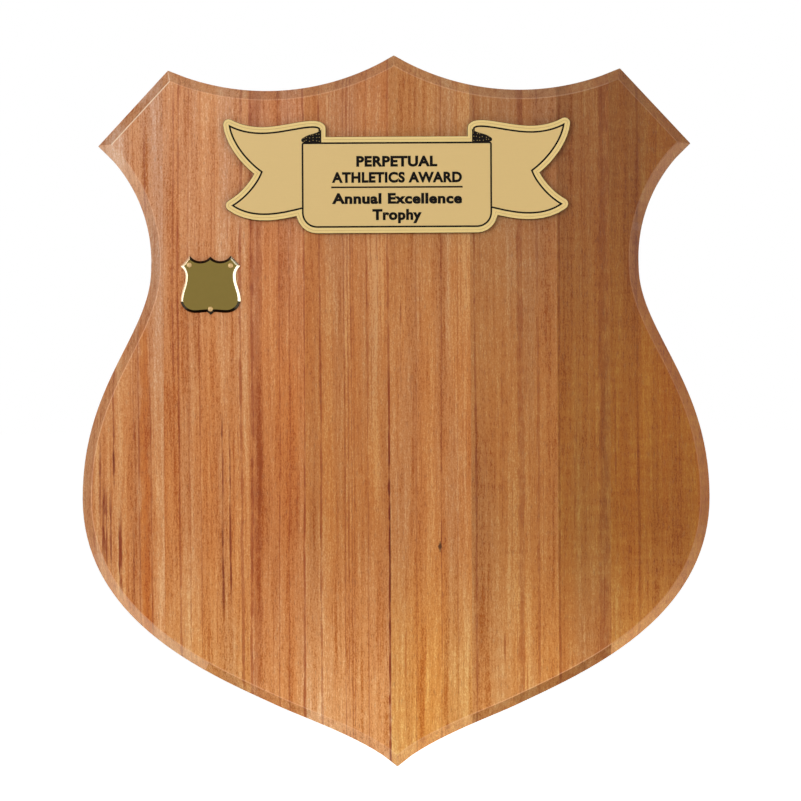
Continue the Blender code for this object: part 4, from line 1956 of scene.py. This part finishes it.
    @staticmethod
    def draw_wire(
        work: Workpiece, rim: Sequence[BMEdge], way: Sequence[float]
    ) -> list[BMEdge]:
        """Go on with a straight run of wire.

        Args:
            work: The wire so far.
            rim: The edges at its end.
            way: How far and where it goes.

        Returns:
            The edges at its new end.
        """
        grown = bmesh.ops.extrude_edge_only(work.bm, edges=list(rim))["geom"]
        bmesh.ops.translate(work.bm, verts=work.verts_of(grown), vec=way)
        return work.edges_of(grown)

    @staticmethod
    def bend_wire(
        work: Workpiece, rim: Sequence[BMEdge], centre: Point, degrees: float, steps: int
    ) -> list[BMEdge]:
        """Go on with a bend about an axis along Y.

        Args:
            work: The wire so far.
            rim: The edges at its end.
            centre: Where the bend's axis lies.
            degrees: How far it bends.
            steps: How many straight steps stand for it.

        Returns:
            The edges at its new end.
        """
        verts = list({vert for edge in rim for vert in edge.verts})
        spun = bmesh.ops.spin(
            work.bm,
            geom=verts + list(rim),
            cent=(centre[0], 0.0, centre[1]),
            axis=(0.0, 1.0, 0.0),
            angle=math.radians(degrees),
            steps=steps,
            use_merge=False,
        )
        return work.edges_of(spun["geom_last"])


@dataclass
class Bumpers:
    """Four moulded rubber bumpers that keep the board off the wall."""

    radius: float = 0.006
    face_radius: float = 0.005
    height: float = 0.005
    places: tuple[tuple[str, Point], ...] = (
        ("upper_left", (-0.115, 0.125)),
        ("upper_right", (0.115, 0.125)),
        ("lower_left", (-0.090, -0.105)),
        ("lower_right", (0.090, -0.105)),
    )

    def build(self) -> None:
        """Make and dress the four bumpers."""
        profile = [
            (0.0, -0.0009),
            (0.0016, -0.0008),
            (0.0021, -0.0002),
            (0.0024, 0.0),
            (self.face_radius - 0.0002, 0.0),
            (self.face_radius + 0.0002, -0.0001),
            (self.face_radius + 0.0007, -0.0006),
            (self.radius, -0.0014),
            (self.radius, -0.0040),
            (self.radius - 0.0003, -0.0043),
            (self.radius - 0.0003, -0.0047),
            (self.radius, -self.height),
            (0.0, -self.height),
        ]
        for name, place in self.places:
            centre = (BOARD_CENTRE[0] + place[0], BOARD_CENTRE[1] + place[1])
            work = Workpiece().turn(profile, centre, 48)
            work.finish(
                f"rubber_bumper_{name}", [BUMPER_RUBBER], Body.PLAQUE, [f"bumper_{name}"],
                sharp_degrees=35.0,
            )


# --- The studio ---


class Reach(Enum):
    """What a light is for."""

    ALL = "all"
    SHADING = "shading"
    GLINTS = "glints"


@dataclass(frozen=True)
class Softbox:
    """A soft light: where it stands, what it looks at, its size, power and use."""

    name: str
    place: tuple[float, float, float]
    target: tuple[float, float, float]
    width: float
    height: float
    power: float
    reach: Reach = Reach.ALL


@dataclass
class Studio:
    """A pale floor, soft lights on both sides and a long-lens camera square to the board."""

    floor_z: float = -0.60
    floor_size: float = 30.0
    middle: tuple[float, float] = (0.0026, -0.1442)
    view_width: float = 0.4253
    lens: float = 100.0
    sensor: float = 36.0
    roll_degrees: float = -0.3
    room_glow: tuple[Point, ...] = (
        (0.0, 0.02), (0.32, 0.02), (0.47, 0.25), (0.70, 0.28), (0.92, 0.06)
    )
    lights: tuple[Softbox, ...] = (
        Softbox("key_left", (-1.15, -1.25, 0.25), (0.0, 0.0, -0.15), 0.8, 0.9, 13.5),
        Softbox("fill_right", (1.2, -1.3, 0.0), (0.0, 0.0, -0.15), 0.8, 0.9, 7.0),
        Softbox(
            "bounce", (0.0, -0.5, -1.2), (0.0, 0.0, -0.15), 1.2, 1.0, 7.0, Reach.SHADING
        ),
        Softbox(
            "overhead", (0.25, -0.4, 0.95), (0.05, 0.0, -0.05), 0.9, 0.6, 3.0, Reach.SHADING
        ),
        Softbox("veil", (-0.62, -2.3, 0.62), (-0.1, 0.0, 0.0), 0.5, 0.5, 5.0),
        Softbox(
            "side_left", (-1.1, -0.28, -0.45), (0.0, 0.0, -0.25), 0.7, 1.0, 2.2, Reach.SHADING
        ),
        Softbox(
            "side_right", (1.1, -0.28, -0.45), (0.0, 0.0, -0.25), 0.7, 1.0, 5.0, Reach.SHADING
        ),
        Softbox(
            "strip_left", (-1.1, -0.10, -0.03), (0.0, 0.0, -0.03), 0.8, 2.4, 10.5, Reach.GLINTS
        ),
        Softbox(
            "strip_right", (1.1, -0.28, -0.03), (0.0, 0.0, -0.03), 0.8, 3.2, 14.0, Reach.GLINTS
        ),
        Softbox("back_left", (-0.9, 1.3, 0.5), (0.0, 0.0, -0.15), 0.9, 0.9, 12.0),
        Softbox("back_right", (1.0, 1.2, 0.2), (0.0, 0.0, -0.15), 0.9, 0.9, 8.0),
    )

    def build(self) -> None:
        """Set up the floor, the surroundings, the lights and the camera."""
        self.make_floor()
        self.make_surroundings()
        for light in self.lights:
            self.make_light(light)
        self.make_camera()
        bpy.context.scene.view_settings.view_transform = "Standard"

    def make_floor(self) -> None:
        """Lay the plain pale floor."""
        bm = bmesh.new()
        bmesh.ops.create_grid(bm, x_segments=1, y_segments=1, size=self.floor_size)
        bmesh.ops.translate(bm, verts=bm.verts, vec=(0.0, 0.0, self.floor_z))
        mesh = bpy.data.meshes.new("studio_floor")
        bm.to_mesh(mesh)
        bm.free()
        graph = Graph("studio_floor_white")
        graph.surface(
            {
                "Base Color": (0.80, 0.80, 0.80),
                "Roughness": 0.9,
                "Specular IOR Level": 0.0,
                "Emission Color": WHITE,
                "Emission Strength": 0.90,
            }
        )
        mesh.materials.append(graph.material)
        floor = bpy.data.objects.new("studio_floor", mesh)
        bpy.context.scene.collection.objects.link(floor)
        floor.visible_glossy = False
        floor.visible_diffuse = False
        floor.visible_shadow = False
        LOG.info("studio_floor: laid")

    def make_surroundings(self) -> None:
        """Set the white backdrop that is seen and the dimmer room that is reflected."""
        world = bpy.data.worlds.new("studio")
        bpy.context.scene.world = world
        world.use_nodes = True
        world.node_tree.nodes.clear()
        tree = Tree(world.node_tree)
        direction = tree.add("ShaderNodeTexCoord", {}, {}, "Generated")
        upwards = tree.add("ShaderNodeSeparateXYZ", {}, {0: direction}, "Z")
        level = tree.add("ShaderNodeMapRange", {}, {"Value": upwards, "From Min": -1.0})
        stops = [(position, (glow, glow, glow)) for position, glow in self.room_glow]
        strength = tree.add("ShaderNodeValToRGB", {"stops": stops}, {0: level})
        room = tree.add("ShaderNodeBackground", {}, {"Color": WHITE, "Strength": strength})
        backdrop = tree.add("ShaderNodeBackground", {}, {"Color": WHITE})
        seen = tree.add("ShaderNodeLightPath", {}, {}, "Is Camera Ray")
        shown = tree.add("ShaderNodeMixShader", {}, {0: seen, 1: room, 2: backdrop})
        output = world.node_tree.nodes.new("ShaderNodeOutputWorld")
        tree.feed(output.inputs["Surface"], shown)

    @staticmethod
    def make_light(light: Softbox) -> None:
        """Set up one softbox.

        Args:
            light: The softbox.
        """
        data = bpy.data.lights.new(light.name, "AREA")
        data.shape = "RECTANGLE"
        data.size, data.size_y = light.width, light.height
        data.energy = light.power
        lamp = bpy.data.objects.new(light.name, data)
        place = Vector(light.place)
        aim = (Vector(light.target) - place).to_track_quat("-Z", "Y")
        lamp.matrix_world = Matrix.LocRotScale(place, aim, None)
        lamp.visible_camera = False
        lamp.visible_diffuse = light.reach is not Reach.GLINTS
        lamp.visible_glossy = light.reach is not Reach.SHADING
        bpy.context.scene.collection.objects.link(lamp)

    def make_camera(self) -> None:
        """Set up the camera square to the board's front."""
        data = bpy.data.cameras.new("camera")
        data.lens = self.lens
        data.sensor_width = self.sensor
        camera = bpy.data.objects.new("camera", data)
        distance = self.view_width * self.lens / self.sensor
        place = Matrix.Translation((self.middle[0], BOARD_FRONT_Y - distance, self.middle[1]))
        level = Matrix.Rotation(math.radians(90.0), 4, "X")
        roll = Matrix.Rotation(math.radians(self.roll_degrees), 4, "Z")
        camera.matrix_world = place @ level @ roll
        bpy.context.scene.collection.objects.link(camera)
        bpy.context.scene.camera = camera


def main() -> None:
    """Build the plaque's pieces in order, then the studio."""
    logging.basicConfig(level=logging.INFO, format="%(message)s")
    Board(staves=STAVES).build()
    HeaderPlate().build()
    AnnualShield().build()
    RingHanger().build()
    Bumpers().build()
    Studio().build()


if __name__ == "__main__":
    main()
